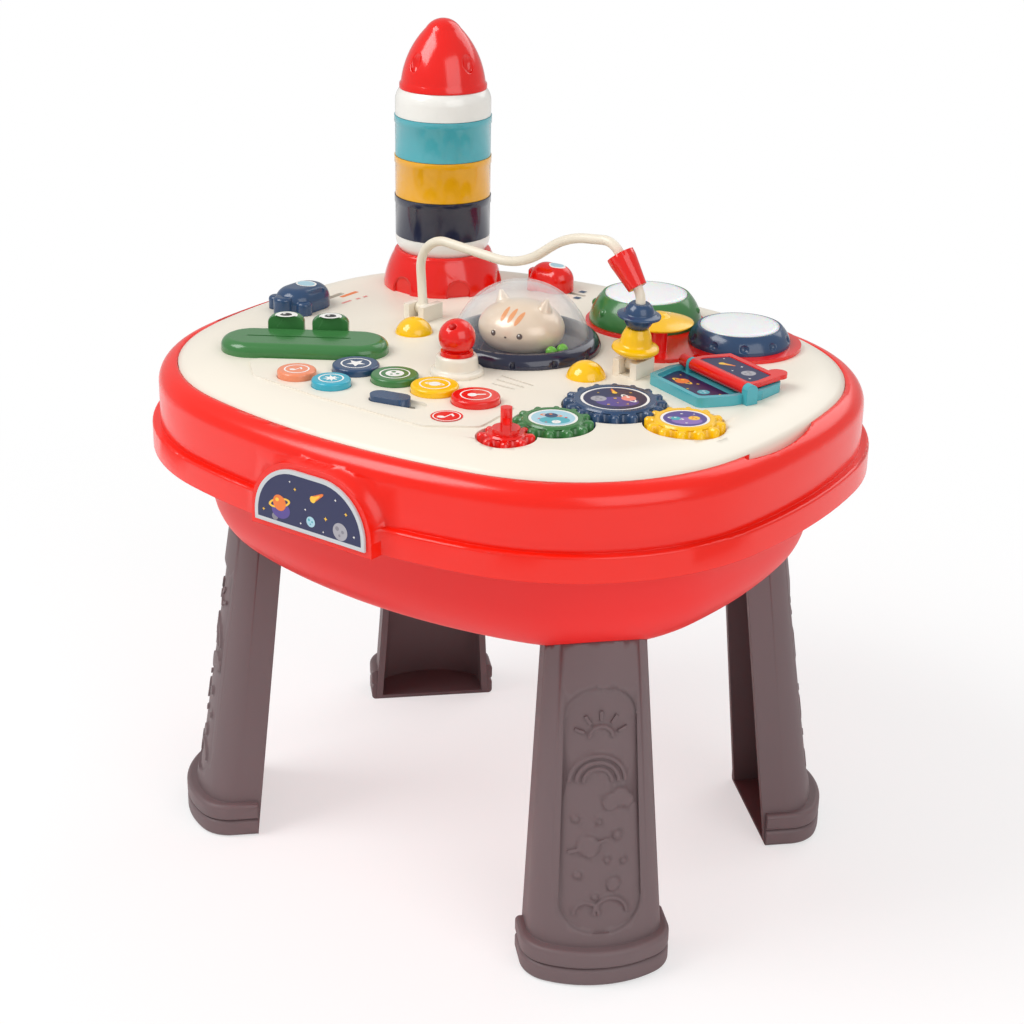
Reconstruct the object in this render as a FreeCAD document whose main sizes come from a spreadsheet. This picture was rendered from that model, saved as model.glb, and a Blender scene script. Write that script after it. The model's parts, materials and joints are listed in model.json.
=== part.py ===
import FreeCAD, Part
import math
import os
import Sketcher

# Musical activity table for a toddler: a red storage basin on four grey legs, a red rim, and a
# cream activity board that lifts out of the rim. Millimetres, +Z up, origin on the floor under
# the table's centre. +X runs along the table's length and -Y is the side with the badge.

V = FreeCAD.Vector

# Driving sizes: alias, value and what it is.
SIZES = [
    ("wall", 3.0, "wall of the basin, rim and board mouldings"),
    ("leg_wall", 3.0, "wall of a leg"),
    ("fit_gap", 0.3, "clearance beside a piece that moves"),
    ("shaft_gap", 0.05, "radial clearance of a shaft in its hole"),
    ("rest_gap", 0.2, "gap under a piece that is stacked on another"),
    ("half_length", 235.6, "rim, centre to end"),
    ("half_width", 205.9, "rim, centre to long side"),
    ("end_radius", 410.8, "plan curve of the rim's ends"),
    ("side_radius", 497.5, "plan curve of the rim's long sides"),
    ("corner_radius", 158.0, "plan curve of the rim's corners"),
    ("flange_bottom", 287.9, "floor to the lower edge of the rim"),
    ("flange_height", 16.8, "height of the rim's lower band"),
    ("flange_step", 5.5, "step in from the lower band"),
    ("rim_top", 343.9, "floor to the crest of the rim"),
    ("rim_round", 13.0, "radius of the rim's crest"),
    ("ledge_drop", 22.0, "crest to the ledge that carries the board"),
    ("ledge_width", 13.0, "width of that ledge"),
    ("board_gap", 0.5, "gap between rim and board"),
    ("crown_width", 30.0, "sloping edge of the board, in plan"),
    ("crown_rise", 9.1, "rise of that edge"),
    ("basin_half_length", 203.6, "basin, centre to end"),
    ("basin_half_width", 170.6, "basin, centre to long side"),
    ("basin_end_radius", 398.1, "plan curve of the basin's ends"),
    ("basin_side_radius", 408.6, "plan curve of the basin's long sides"),
    ("basin_corner_radius", 122.9, "plan curve of the basin's corners"),
    ("basin_bottom", 212.2, "floor to the underside of the basin"),
    ("basin_lean", 4.5, "lean of the basin's wall, degrees"),
    ("basin_round", 42.0, "radius between wall and bottom of the basin"),
    ("foot_x", 148.0, "centre to the flat back of a foot, along X"),
    ("foot_y", 104.6, "centre to the flat back of a foot, along Y"),
    ("foot_half", 45.5, "half the width of a leg above its foot"),
    ("foot_depth", 46.0, "depth of a leg above its foot"),
    ("foot_lip", 3.4, "how far the foot's bead stands out"),
    ("foot_bead", 12.5, "height of one bead of the foot"),
    ("leg_top_half", 29.5, "half the width of a leg's top"),
    ("leg_top_depth", 34.0, "depth of a leg's top"),
    ("leg_top", 262.0, "floor to the end of the leg inside the basin's corner"),
    ("leg_splay", 28.6, "how far the foot stands out past the leg's top"),
    ("panel_depth", 2.0, "depth of the leg's sunk panel"),
    ("panel_low", 34.0, "floor to the lower end of that panel"),
    ("panel_high", 196.0, "floor to its upper end"),
    ("panel_half", 25.5, "half the width of that panel"),
    ("badge_x", 8.3, "centre of the badge along X"),
    ("badge_half", 43.6, "half the width of the badge plate"),
    ("badge_height", 38.5, "height of the badge plate"),
    ("badge_round", 33.0, "radius of the badge plate's upper corners"),
    ("badge_border", 4.0, "boss that shows round the plate"),
    ("badge_proud", 6.0, "boss, in front of the rim's lower band"),
    ("plate_thick", 1.6, "thickness of the badge plate"),
    ("screw_radius", 2.0, "shank of a screw"),
    ("screw_head", 3.8, "head of a screw"),
    ("head_height", 2.4, "thickness of a screw's head"),
    ("screw_length", 12.0, "shank of a screw below its head"),
    ("boss_radius", 5.0, "screw boss"),
    ("leg_screw_in", 3.6, "leg's screw, in from the back of the leg"),
    ("boss_length", 22.0, "height of the boss in a leg"),
    ("rim_boss_x", 80.0, "rim screws on the long sides, along X"),
    ("rim_boss_y", 70.0, "rim screws at the ends, along Y"),
    ("edge_sag_x", 6.0, "how far the rim's end curves back at its screws"),
    ("edge_sag_y", 6.5, "how far the rim's side curves back at its screws"),
    ("notch_length", 80.0, "length of a finger notch"),
    ("notch_depth", 6.2, "depth of a finger notch into the rim"),
    ("notch_y", -16.0, "centre of the finger notch along Y"),
    ("gear_module", 3.7, "pitch diameter of a gear over its teeth"),
    ("gear_x", 105.9, "green gear's centre along X"),
    ("gear_y", -99.3, "green gear's centre along Y"),
    ("gear_well", 9.0, "depth of the gears' well"),
    ("gear_rise", 4.0, "green and yellow gears above the deck"),
    ("big_gear_rise", 5.0, "large gear above the deck"),
    ("gear_post", 5.0, "radius of a gear's post"),
    ("lobe_radius", 2.65, "round lobe that makes a gear's tooth"),
    ("big_teeth", 16, "teeth of the large gear"),
    ("mid_teeth", 12, "teeth of the green and the yellow gear"),
    ("small_teeth", 8, "teeth of the red gear"),
    ("gear_to_big", 77.3, "direction from green to large gear, degrees"),
    ("big_to_yellow", -1.3, "direction from large to yellow gear, degrees"),
    ("gear_to_red", -103.9, "direction from green to red gear, degrees"),
    ("big_sticker", 22.0, "sticker of the large gear"),
    ("mid_sticker", 15.5, "sticker of the green and yellow gears"),
    ("crank_length", 19.0, "wing handle on the red gear"),
    ("crank_rise", 11.0, "height of that handle"),
    ("panel_rise", 1.0, "raised field of the music keys"),
    ("slit_length", 23.0, "middle sound slit over the speaker"),
    ("slit_pitch", 7.4, "spacing of the sound slits"),
    ("speaker_x", 42.0, "speaker along X"),
    ("speaker_y", -53.0, "speaker along Y"),
    ("speaker_radius", 18.0, "speaker"),
    ("wire_low_run", 182.0, "right foot of the wire, along its span"),
    ("wire_bend_run", 186.0, "right bend of the wire, along its span"),
    ("wire_bend_rise", 54.0, "right bend of the wire above the deck"),
    ("wire_top_run", 162.0, "top right corner of the wire, along its span"),
    ("wire_top_rise", 85.0, "top right corner of the wire above the deck"),
    ("eye_length", 8.0, "length of the eye at each foot of the wire"),
    ("ear_width", 20.0, "width of a clevis"),
    ("ear_rise", 11.0, "height of a clevis"),
    ("bead_gap", 0.06, "radial clearance of a bead on the wire"),
    ("saucer_low", 12.8, "lowest bead above the deck, along the wire"),
    ("saucer_height", 19.0, "height of the lowest bead"),
    ("planet_height", 16.5, "height of the ringed bead"),
    ("tip_bead_length", 24.0, "length of the tapered bead"),
    ("board_boss_low", 325.2, "underside of the board's screw bosses"),
    ("mat_thick", 4.1, "key mat"),
    ("circuit_thick", 1.6, "circuit board"),
    ("circuit_drop", 13.9, "deck to the top of the circuit board"),
    ("battery_radius", 7.1, "battery"),
    ("battery_length", 50.5, "battery length"),
    ("bay_x", 20.0, "battery bay along X"),
    ("bay_y", 62.0, "battery bay along Y"),
    ("key_radius", 15.4, "large music key"),
    ("small_key_radius", 12.6, "small music key"),
    ("key_rise", 5.6, "music key above the deck"),
    ("key_travel", 2.5, "travel of a music key"),
    ("key_grip", 0.65, "how far a key's flange stands out under the deck"),
    ("key_pitch", 32.4, "spacing of the large keys"),
    ("key_x", -50.0, "first large key along X"),
    ("key_y", -99.5, "large keys along Y"),
    ("small_key_x", -72.0, "first small key along X"),
    ("small_key_y", -132.0, "small keys along Y"),
    ("small_key_pitch", 29.0, "spacing of the small keys"),
    ("switch_x", 10.0, "slide switch's slot centre along X"),
    ("switch_y", -130.5, "slide switch's slot centre along Y"),
    ("switch_turn", 12.0, "direction of the slide switch, degrees"),
    ("switch_slot", 39.0, "length of the switch's recess"),
    ("switch_knob", 27.0, "length of the switch's knob"),
    ("switch_width", 13.0, "width of the switch's knob"),
    ("switch_rise", 3.6, "switch knob above the deck"),
    ("rocket_x", -132.7, "rocket's axis along X"),
    ("rocket_y", 96.9, "rocket's axis along Y"),
    ("fin_radius", 43.3, "foot of the rocket's base"),
    ("fin_rise", 27.0, "height of the rocket's base"),
    ("cup_radius", 34.5, "rocket ring"),
    ("cup_wall", 2.5, "wall of a rocket ring"),
    ("cup_height", 29.0, "height of a coloured rocket ring"),
    ("cup_band", 5.5, "height of the raised band of a ring"),
    ("cup_spigot", 4.0, "depth of the spigot under a ring"),
    ("first_cup_low", 21.6, "deck to the bottom of the lowest ring"),
    ("first_cup_high", 38.0, "deck to the top of the lowest ring"),
    ("top_cup_height", 19.0, "height of the white ring under the nose"),
    ("nose_radius", 31.4, "foot of the nose cone"),
    ("nose_height", 48.5, "height of the nose cone"),
    ("drum_x", 38.9, "green drum along X"),
    ("drum_y", 107.2, "green drum along Y"),
    ("drum_radius", 39.2, "foot of the green drum"),
    ("drum_rise", 19.0, "green drum above its tray"),
    ("drum_pad", 28.4, "skin of the green drum"),
    ("tom_x", 115.4, "blue drum along X"),
    ("tom_y", 105.7, "blue drum along Y"),
    ("tom_radius", 34.5, "foot of the blue drum"),
    ("tom_rise", 11.5, "blue drum above its tray"),
    ("tom_pad", 26.6, "skin of the blue drum"),
    ("pad_travel", 2.0, "travel of a drum skin"),
    ("tray_margin", 5.0, "tray that shows round the drums"),
    ("tray_rise", 2.6, "height of the drum tray"),
    ("cymbal_x", 82.0, "cymbal along X"),
    ("cymbal_y", 56.0, "cymbal along Y"),
    ("cymbal_radius", 23.2, "cymbal"),
    ("cymbal_rise", 18.0, "cymbal's lower edge above the tray"),
    ("cymbal_travel", 2.0, "travel of the cymbal"),
    ("post_radius", 6.0, "cymbal's post"),
    ("dome_x", 1.2, "clear dome along X"),
    ("dome_y", 11.6, "clear dome along Y"),
    ("ring_radius", 53.8, "ring of the clear dome"),
    ("ring_rise", 9.0, "ring of the clear dome above the deck"),
    ("dome_radius", 46.0, "clear dome"),
    ("dome_rise", 45.0, "top of the clear dome above the deck"),
    ("dome_wall", 1.6, "wall of the clear dome"),
    ("cat_width", 32.0, "half the width of the cat's head"),
    ("cat_depth", 28.0, "half the depth of the cat's head"),
    ("cat_rise", 33.3, "top of the cat's head above the deck"),
    ("knob_x", 2.0, "ball knob along X"),
    ("knob_y", -60.2, "ball knob along Y"),
    ("knob_radius", 12.0, "ball knob"),
    ("knob_rise", 24.0, "centre of the ball knob above the deck"),
    ("knob_foot", 17.6, "flange under the ball knob"),
    ("knob_cup", 13.3, "cup under the ball knob"),
    ("knob_cup_rise", 12.5, "top of that cup above the deck"),
    ("lamp_radius", 13.0, "lamp dome"),
    ("lamp_rise", 10.5, "lamp dome above the deck"),
    ("lamp_left_x", -73.3, "left lamp along X"),
    ("lamp_left_y", -10.7, "left lamp along Y"),
    ("lamp_right_x", 71.6, "right lamp along X"),
    ("lamp_right_y", -13.8, "right lamp along Y"),
    ("arch_left_x", -88.9, "left foot of the bead wire along X"),
    ("arch_left_y", 18.9, "left foot of the bead wire along Y"),
    ("arch_turn", -3.0, "direction of the wire's plane, degrees from X"),
    ("arch_radius", 3.2, "radius of the bead wire"),
    ("pin_rise", 7.0, "wire's pivot above the deck"),
    ("pin_radius", 1.5, "radius of the wire's pins"),
    ("frog_x", -105.0, "frog along X"),
    ("frog_y", -87.0, "frog along Y"),
    ("frog_turn", 33.0, "direction of the frog's body"),
    ("frog_length", 112.0, "length of the frog's body"),
    ("frog_width", 42.0, "width of the frog's body"),
    ("frog_rise", 9.0, "height of the frog's body"),
    ("eye_radius", 12.5, "frog's eye mound"),
    ("eye_rise", 17.0, "height of an eye mound"),
    ("book_x", 148.0, "book's hinge centre along X"),
    ("book_y", 20.0, "book's hinge centre along Y"),
    ("book_turn", -22.0, "direction of the book's hinge"),
    ("book_length", 68.0, "length of the book along its hinge"),
    ("book_leaf", 33.0, "depth of one half of the book"),
    ("book_rise", 6.5, "border of the book's tray above the deck"),
    ("book_floor", 3.5, "floor of the book's tray above the deck"),
    ("book_axis", 8.7, "hinge of the leaf above the deck"),
    ("book_edge", 54.0, "length of the book at its outer edges"),
    ("leaf_thick", 3.0, "thickness of the book's leaf"),
    ("tube_radius", 4.2, "leaf's hinge tube"),
    ("rod_radius", 1.6, "book's hinge rod"),
    ("capsule_x", -171.0, "blue capsule along X"),
    ("capsule_y", -15.0, "blue capsule along Y"),
    ("capsule_run", 38.0, "run of the blue capsule's slot"),
    ("pod_x", -60.0, "red capsule along X"),
    ("pod_y", 134.0, "red capsule along Y"),
    ("pod_run", 24.0, "run of the red capsule's slot"),
    ("slot_width", 4.6, "width of a capsule's slot"),
]


class Size:
    """A length that knows its number and the spreadsheet formula behind it."""

    def __init__(self, value, text):
        self.value = float(value)
        self.text = text

    @staticmethod
    def of(other):
        if isinstance(other, Size):
            return other
        return Size(other, repr(float(other)))

    def _with(self, other, sign, value):
        return Size(value, "(%s %s %s)" % (self.text, sign, other.text))

    def __add__(self, other):
        other = Size.of(other)
        return self._with(other, "+", self.value + other.value)

    def __radd__(self, other):
        return Size.of(other) + self

    def __sub__(self, other):
        other = Size.of(other)
        return self._with(other, "-", self.value - other.value)

    def __rsub__(self, other):
        return Size.of(other) - self

    def __mul__(self, other):
        other = Size.of(other)
        return self._with(other, "*", self.value * other.value)

    def __rmul__(self, other):
        return Size.of(other) * self

    def __truediv__(self, other):
        other = Size.of(other)
        return self._with(other, "/", self.value / other.value)

    def __neg__(self):
        return Size(-self.value, "(0 - %s)" % self.text)


def turned_x(length, degrees):
    """Part of a length along X when it points at an angle in degrees."""
    length = Size.of(length)
    degrees = Size.of(degrees)
    value = length.value * math.cos(math.radians(degrees.value))
    return Size(value, "(%s * cos(%s * 1deg))" % (length.text, degrees.text))


def turned_y(length, degrees):
    """Part of a length along Y when it points at an angle in degrees."""
    length = Size.of(length)
    degrees = Size.of(degrees)
    value = length.value * math.sin(math.radians(degrees.value))
    return Size(value, "(%s * sin(%s * 1deg))" % (length.text, degrees.text))


doc = FreeCAD.newDocument("activity_table")
sheet = doc.addObject("Spreadsheet::Sheet", "Sizes")
for row, (alias, value, note) in enumerate(SIZES, start=1):
    sheet.set("A%d" % row, note)
    sheet.set("B%d" % row, str(value))
    sheet.setAlias("B%d" % row, alias)
doc.recompute()


class Sheet:
    """Each alias of the spreadsheet as a Size, written S.alias."""

    def __getattr__(self, alias):
        return Size(sheet.get(alias), "Sizes.%s" % alias)


S = Sheet()
NODES = []


def bind(item, path, size):
    """Set a property of an object to a size and its formula."""
    item.setExpression(path, Size.of(size).text)


def place(item, x=0, y=0, z=0, turn=None, axis=(0, 0, 1)):
    """Put an object at x, y, z, turned about an axis, all bound to the sheet."""
    spin = 0 if turn is None else Size.of(turn).value
    spot = V(Size.of(x).value, Size.of(y).value, Size.of(z).value)
    item.Placement = FreeCAD.Placement(spot, FreeCAD.Rotation(V(*axis), spin))
    bind(item, "Placement.Base.x", x)
    bind(item, "Placement.Base.y", y)
    bind(item, "Placement.Base.z", z)
    if turn is not None:
        bind(item, "Placement.Rotation.Angle", turn)
    return item


def node(item, label):
    """Name an object as one sub-part."""
    item.Label = label
    NODES.append(item)
    return item


def cylinder(radius, height, x=0, y=0, z=0):
    item = doc.addObject("Part::Cylinder", "Round")
    bind(item, "Radius", radius)
    bind(item, "Height", height)
    return place(item, x, y, z)


def block(length, width, height, x=0, y=0, z=0, turn=None):
    """A box whose base is centred on x, y."""
    item = doc.addObject("Part::Box", "Block")
    bind(item, "Length", length)
    bind(item, "Width", width)
    bind(item, "Height", height)
    angle = Size.of(0 if turn is None else turn)
    back_x = Size.of(x) - turned_x(Size.of(length) / 2, angle) + turned_y(Size.of(width) / 2, angle)
    back_y = Size.of(y) - turned_y(Size.of(length) / 2, angle) - turned_x(Size.of(width) / 2, angle)
    return place(item, back_x, back_y, z, turn)


def ball(radius, x=0, y=0, z=0):
    item = doc.addObject("Part::Sphere", "Ball")
    bind(item, "Radius", radius)
    return place(item, x, y, z)


def fuse(*items):
    item = doc.addObject("Part::MultiFuse", "Joined")
    item.Shapes = list(items)
    item.Refine = True
    return item


def cut(base, *tools):
    tool = tools[0] if len(tools) == 1 else fuse(*tools)
    item = doc.addObject("Part::Cut", "Trimmed")
    item.Base = base
    item.Tool = tool
    item.Refine = True
    return item


def group(*items):
    """Several separate solids kept as one sub-part."""
    item = doc.addObject("Part::Compound", "Group")
    item.Links = list(items)
    return item


def made(shape, x=0, y=0, z=0, turn=0, name="Form"):
    """A shape made with Part's own functions, then placed."""
    item = doc.addObject("Part::Feature", name)
    item.Shape = shape
    spot = V(Size.of(x).value, Size.of(y).value, Size.of(z).value)
    there = FreeCAD.Placement(spot, FreeCAD.Rotation(V(0, 0, 1), Size.of(turn).value))
    item.Placement = there.multiply(shape.Placement)
    return item


def origin_plane(body, role):
    for feature in body.Origin.OriginFeatures:
        if feature.Role == role:
            return feature
    raise ValueError(role)


def arc_between(start, end, radius, bulge):
    """Arc from start to end; bulge +1 curves to the left of the way, -1 to the right."""
    middle = (start + end) * 0.5
    way = end - start
    side = V(-way.y, way.x, 0).normalize() * bulge
    rise = math.sqrt(max(radius * radius - way.Length * way.Length / 4, 0.0))
    centre = middle - side * rise
    first = math.atan2(start.y - centre.y, start.x - centre.x)
    last = math.atan2(end.y - centre.y, end.x - centre.x)
    circle = Part.Circle(centre, V(0, 0, 1), radius)
    if bulge < 0:
        return Part.ArcOfCircle(circle, first, last + (2 * math.pi if last < first else 0)), True
    return Part.ArcOfCircle(circle, last, first + (2 * math.pi if first < last else 0)), False


def draw(sketch, corners, arcs=None):
    """Draw a closed outline through corners; arcs maps a side to its radius and bulge.

    A side whose radius is None is half a circle on a chord along the sketch's second axis."""
    arcs = arcs or {}
    count = len(corners)
    points = [V(Size.of(a).value, Size.of(b).value, 0) for a, b in corners]
    ends = []
    for side in range(count):
        start = points[side]
        end = points[(side + 1) % count]
        if side in arcs:
            radius, bulge = arcs[side]
            reach = (end - start).Length / 2 if radius is None else Size.of(radius).value
            curve, forward = arc_between(start, end, reach, bulge)
            index = sketch.addGeometry(curve, False)
            ends.append((index, 1, 2) if forward else (index, 2, 1))
        else:
            index = sketch.addGeometry(Part.LineSegment(start, end), False)
            ends.append((index, 1, 2))
    for side in range(count):
        index, _, last = ends[side]
        following, first, _ = ends[(side + 1) % count]
        sketch.addConstraint(Sketcher.Constraint("Coincident", index, last, following, first))
    for side, (across, along) in enumerate(corners):
        index, first, _ = ends[side]
        for kind, size, axis in (("DistanceX", across, -2), ("DistanceY", along, -1)):
            size = Size.of(size)
            if abs(size.value) < 1e-9:
                sketch.addConstraint(Sketcher.Constraint("PointOnObject", index, first, axis))
                continue
            number = sketch.addConstraint(Sketcher.Constraint(kind, index, first, size.value))
            sketch.setExpression("Constraints[%d]" % number, size.text)
    for side, (radius, _) in arcs.items():
        if radius is None:
            across = Size.of(corners[side][0])
            number = sketch.addConstraint(
                Sketcher.Constraint("DistanceX", ends[side][0], 3, across.value))
            sketch.setExpression("Constraints[%d]" % number, across.text)
            continue
        radius = Size.of(radius)
        number = sketch.addConstraint(Sketcher.Constraint("Radius", ends[side][0], radius.value))
        sketch.setExpression("Constraints[%d]" % number, radius.text)


def turned(corners, arcs=None, x=0, y=0, z=0):
    """A body of revolution: corners are radius and height above z, drawn counter-clockwise."""
    body = doc.addObject("PartDesign::Body", "Turned")
    sketch = body.newObject("Sketcher::SketchObject", "Profile")
    sketch.AttachmentSupport = (origin_plane(body, "XZ_Plane"), [""])
    sketch.MapMode = "FlatFace"
    draw(sketch, corners, arcs)
    lathe = body.newObject("PartDesign::Revolution", "Lathe")
    lathe.Profile = sketch
    lathe.ReferenceAxis = (sketch, ["V_Axis"])
    lathe.Angle = 360
    return place(body, x, y, z)


def padded(corners, height, arcs=None, x=0, y=0, z=0, turn=None):
    """A flat outline padded upwards."""
    body = doc.addObject("PartDesign::Body", "Padded")
    sketch = body.newObject("Sketcher::SketchObject", "Outline")
    sketch.AttachmentSupport = (origin_plane(body, "XY_Plane"), [""])
    sketch.MapMode = "FlatFace"
    draw(sketch, corners, arcs)
    pad = body.newObject("PartDesign::Pad", "Pad")
    pad.Profile = sketch
    bind(pad, "Length", height)
    return place(body, x, y, z, turn)


def rounded_bar(length, width, height, x, y, z, turn=None):
    """A bar with round ends, padded upwards."""
    half = Size.of(length) / 2 - Size.of(width) / 2
    side = Size.of(width) / 2
    corners = [(-half, -side), (half, -side), (half, side), (-half, side)]
    return padded(corners, height, {1: (None, -1), 3: (None, -1)}, x, y, z, turn)


# Plan outlines of the table: eight arcs, tangent to each other.

def plan_arcs(half_length, half_width, end_radius, side_radius, corner_radius):
    """Centre, radius and angles of the arcs of one quarter and its mirrors, in order."""
    end_centre = V(half_length - end_radius, 0, 0)
    side_centre = V(0, half_width - side_radius, 0)
    end_reach = end_radius - corner_radius
    side_reach = side_radius - corner_radius
    way = side_centre - end_centre
    span = way.Length
    along = (end_reach ** 2 - side_reach ** 2 + span ** 2) / (2 * span)
    across = math.sqrt(end_reach ** 2 - along ** 2)
    corner = end_centre + way * (along / span) + V(-way.y, way.x, 0) * (-across / span)
    if corner.x < 0 or corner.y < 0:
        corner = end_centre + way * (along / span) + V(-way.y, way.x, 0) * (across / span)
    low = math.atan2(corner.y - end_centre.y, corner.x - end_centre.x)
    high = math.atan2(corner.y - side_centre.y, corner.x - side_centre.x)
    right = math.pi / 2
    return [
        (end_centre, end_radius, -low, low),
        (corner, corner_radius, low, high),
        (side_centre, side_radius, high, 2 * right - high),
        (V(-corner.x, corner.y, 0), corner_radius, 2 * right - high, 2 * right - low),
        (-end_centre, end_radius, 2 * right - low, 2 * right + low),
        (-corner, corner_radius, 2 * right + low, 2 * right + high),
        (-side_centre, side_radius, 2 * right + high, 4 * right - high),
        (V(corner.x, -corner.y, 0), corner_radius, 4 * right - high, 4 * right - low),
    ]


def plan_face(arcs, inset, height):
    """Flat face inside the plan outline, moved in by an inset."""
    edges = []
    for centre, radius, first, last in arcs:
        reach = radius - inset
        points = []
        for angle in (first, (first + last) / 2, last):
            points.append(centre + V(math.cos(angle), math.sin(angle), 0) * reach + V(0, 0, height))
        edges.append(Part.Arc(*points).toShape())
    return Part.Face(Part.Wire(edges))


def plan_slab(arcs, inset, low, high):
    return plan_face(arcs, inset, low).extrude(V(0, 0, high - low))


def plan_ring(arcs, profile):
    """Carry a closed profile of inset and height round the plan outline."""
    pieces = []
    for centre, radius, first, last in arcs:
        edges = []
        for kind, points in profile:
            spots = [V(radius - inset, 0, height) for inset, height in points]
            if kind == "arc":
                edges.append(Part.Arc(*spots).toShape())
            else:
                edges.append(Part.LineSegment(*spots).toShape())
        face = Part.Face(Part.Wire(edges))
        face.rotate(V(0, 0, 0), V(0, 0, 1), math.degrees(first))
        solid = face.revolve(V(0, 0, 0), V(0, 0, 1), math.degrees(last - first))
        solid.translate(centre)
        pieces.append(solid)
    return pieces[0].multiFuse(pieces[1:]).removeSplitter()


def path(points):
    """Profile edges: a point with three numbers ends an arc that passes through a middle point."""
    edges = []
    count = len(points)
    for index, point in enumerate(points):
        following = points[(index + 1) % count]
        start = point[:2]
        if len(following) == 4:
            edges.append(("arc", (start, following[2:], following[:2])))
        else:
            edges.append(("line", (start, following[:2])))
    return edges


def on_arc(centre_inset, centre_height, radius, degrees):
    """Point on a profile arc; 90 degrees is straight up and 0 points to a smaller inset."""
    angle = math.radians(degrees)
    return (centre_inset - radius * math.cos(angle), centre_height + radius * math.sin(angle))


wall = S.wall.value
RIM_PLAN = plan_arcs(S.half_length.value, S.half_width.value, S.end_radius.value,
                     S.side_radius.value, S.corner_radius.value)
BASIN_PLAN = plan_arcs(S.basin_half_length.value, S.basin_half_width.value,
                       S.basin_end_radius.value, S.basin_side_radius.value,
                       S.basin_corner_radius.value)
rim_inset = S.flange_step + S.rim_round
board_inset = rim_inset + S.board_gap
flange_top = S.flange_bottom + S.flange_height
ledge_top = S.rim_top - S.ledge_drop
deck = S.rim_top + S.crown_rise
under_deck = deck - S.wall
lip_top = flange_top - S.wall


# Rim: the hollow red ring between basin and board, with the badge's boss and two finger notches.

def badge_outline(grow, y_front, y_back):
    """Half-oval prism of the badge, standing on the rim's lower edge and grown all round."""
    half = S.badge_half.value + grow
    low = S.flange_bottom.value + S.badge_border.value - grow
    high = S.flange_bottom.value + S.badge_border.value + S.badge_height.value + grow
    round_top = min(S.badge_round.value + grow, (high - low) * 0.95, half * 0.95)
    slant = round_top * (1 - math.sqrt(0.5))
    edges = [
        Part.LineSegment(V(-half, 0, low), V(half, 0, low)),
        Part.LineSegment(V(half, 0, low), V(half, 0, high - round_top)),
        Part.Arc(V(half, 0, high - round_top), V(half - slant, 0, high - slant),
                 V(half - round_top, 0, high)),
        Part.LineSegment(V(half - round_top, 0, high), V(round_top - half, 0, high)),
        Part.Arc(V(round_top - half, 0, high), V(slant - half, 0, high - slant),
                 V(-half, 0, high - round_top)),
        Part.LineSegment(V(-half, 0, high - round_top), V(-half, 0, low)),
    ]
    face = Part.Face(Part.Wire([edge.toShape() for edge in edges]))
    face.translate(V(S.badge_x.value, y_front, 0))
    return face.extrude(V(0, y_back - y_front, 0))


def notch_tool(grow, side, low, high):
    """Round-bottomed scoop across the rim's inner edge at one end of the table."""
    reach = S.notch_depth.value
    half = S.notch_length.value / 2
    radius = (half * half + reach * reach) / (2 * reach)
    edge = S.half_length.value - rim_inset.value
    scoop = Part.makeCylinder(radius + grow, high - low, V(edge + reach - radius, S.notch_y.value, low))
    keep = Part.makeBox(reach + grow + wall, 2 * (half + grow), high - low,
                        V(edge - wall, S.notch_y.value - half - grow, low))
    shape = scoop.common(keep)
    if side < 0:
        shape.rotate(V(0, 0, 0), V(0, 0, 1), 180)
        shape.translate(V(0, 2 * S.notch_y.value, 0))
    return shape


def rim_profile():
    step = S.flange_step.value
    bend = S.rim_round.value
    low = S.flange_bottom.value
    top = flange_top.value
    crest = S.rim_top.value
    inset = rim_inset.value
    centre = (inset, crest - bend)
    soft = wall * 0.6
    inner = bend - wall
    slot = inset - wall
    reach = math.degrees(math.acos((inset - slot) / inner))
    outer_mid = on_arc(centre[0], centre[1], bend, 45)
    inner_mid = on_arc(centre[0], centre[1], inner, reach / 2)
    inner_top = on_arc(centre[0], centre[1], inner, reach)
    soft_mid = on_arc(soft, top - soft, soft, 45)
    ledge = ledge_top.value
    width = S.ledge_width.value
    return path([
        (0, low),
        (0, top - soft),
        (soft, top) + soft_mid,
        (step, top),
        (step, centre[1]),
        (inset, crest) + outer_mid,
        (inset, ledge),
        (inset + width, ledge),
        (inset + width, ledge - wall),
        (slot, ledge - wall),
        inner_top,
        (step + wall, centre[1]) + inner_mid,
        (step + wall, top - wall),
        (wall, top - wall),
        (wall, low),
    ])


def under_crest():
    """Solid space under the rim's round crest, down to the ledge."""
    bend = S.rim_round.value
    inset = rim_inset.value
    centre = (inset, S.rim_top.value - bend)
    return plan_ring(RIM_PLAN, path([
        (inset, ledge_top.value),
        (S.flange_step.value, ledge_top.value),
        (S.flange_step.value, centre[1]),
        (inset, S.rim_top.value) + on_arc(centre[0], centre[1], bend, 45),
    ]))


def make_rim():
    shell = plan_ring(RIM_PLAN, rim_profile())
    front = -S.half_width.value - S.badge_proud.value
    back = -S.half_width.value + rim_inset.value - wall
    boss = badge_outline(S.badge_border.value, front, back)
    boss = boss.cut(badge_outline(S.badge_border.value - wall, front + wall, back + wall))
    inside = plan_slab(RIM_PLAN, wall, S.flange_bottom.value - wall, lip_top.value)
    inside = inside.fuse(plan_slab(RIM_PLAN, S.flange_step.value + wall, lip_top.value,
                                   S.rim_top.value - S.rim_round.value))
    inside = inside.fuse(plan_slab(RIM_PLAN, rim_inset.value - wall, flange_top.value,
                                   S.rim_top.value + wall))
    shell = shell.fuse(boss.cut(inside))
    space = under_crest()
    low = ledge_top.value
    for side in (1, -1):
        shell = shell.fuse(notch_tool(wall, side, low, S.rim_top.value).common(space))
        shell = shell.cut(notch_tool(0, side, low + wall, S.rim_top.value + wall))
    return shell.removeSplitter()


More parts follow.
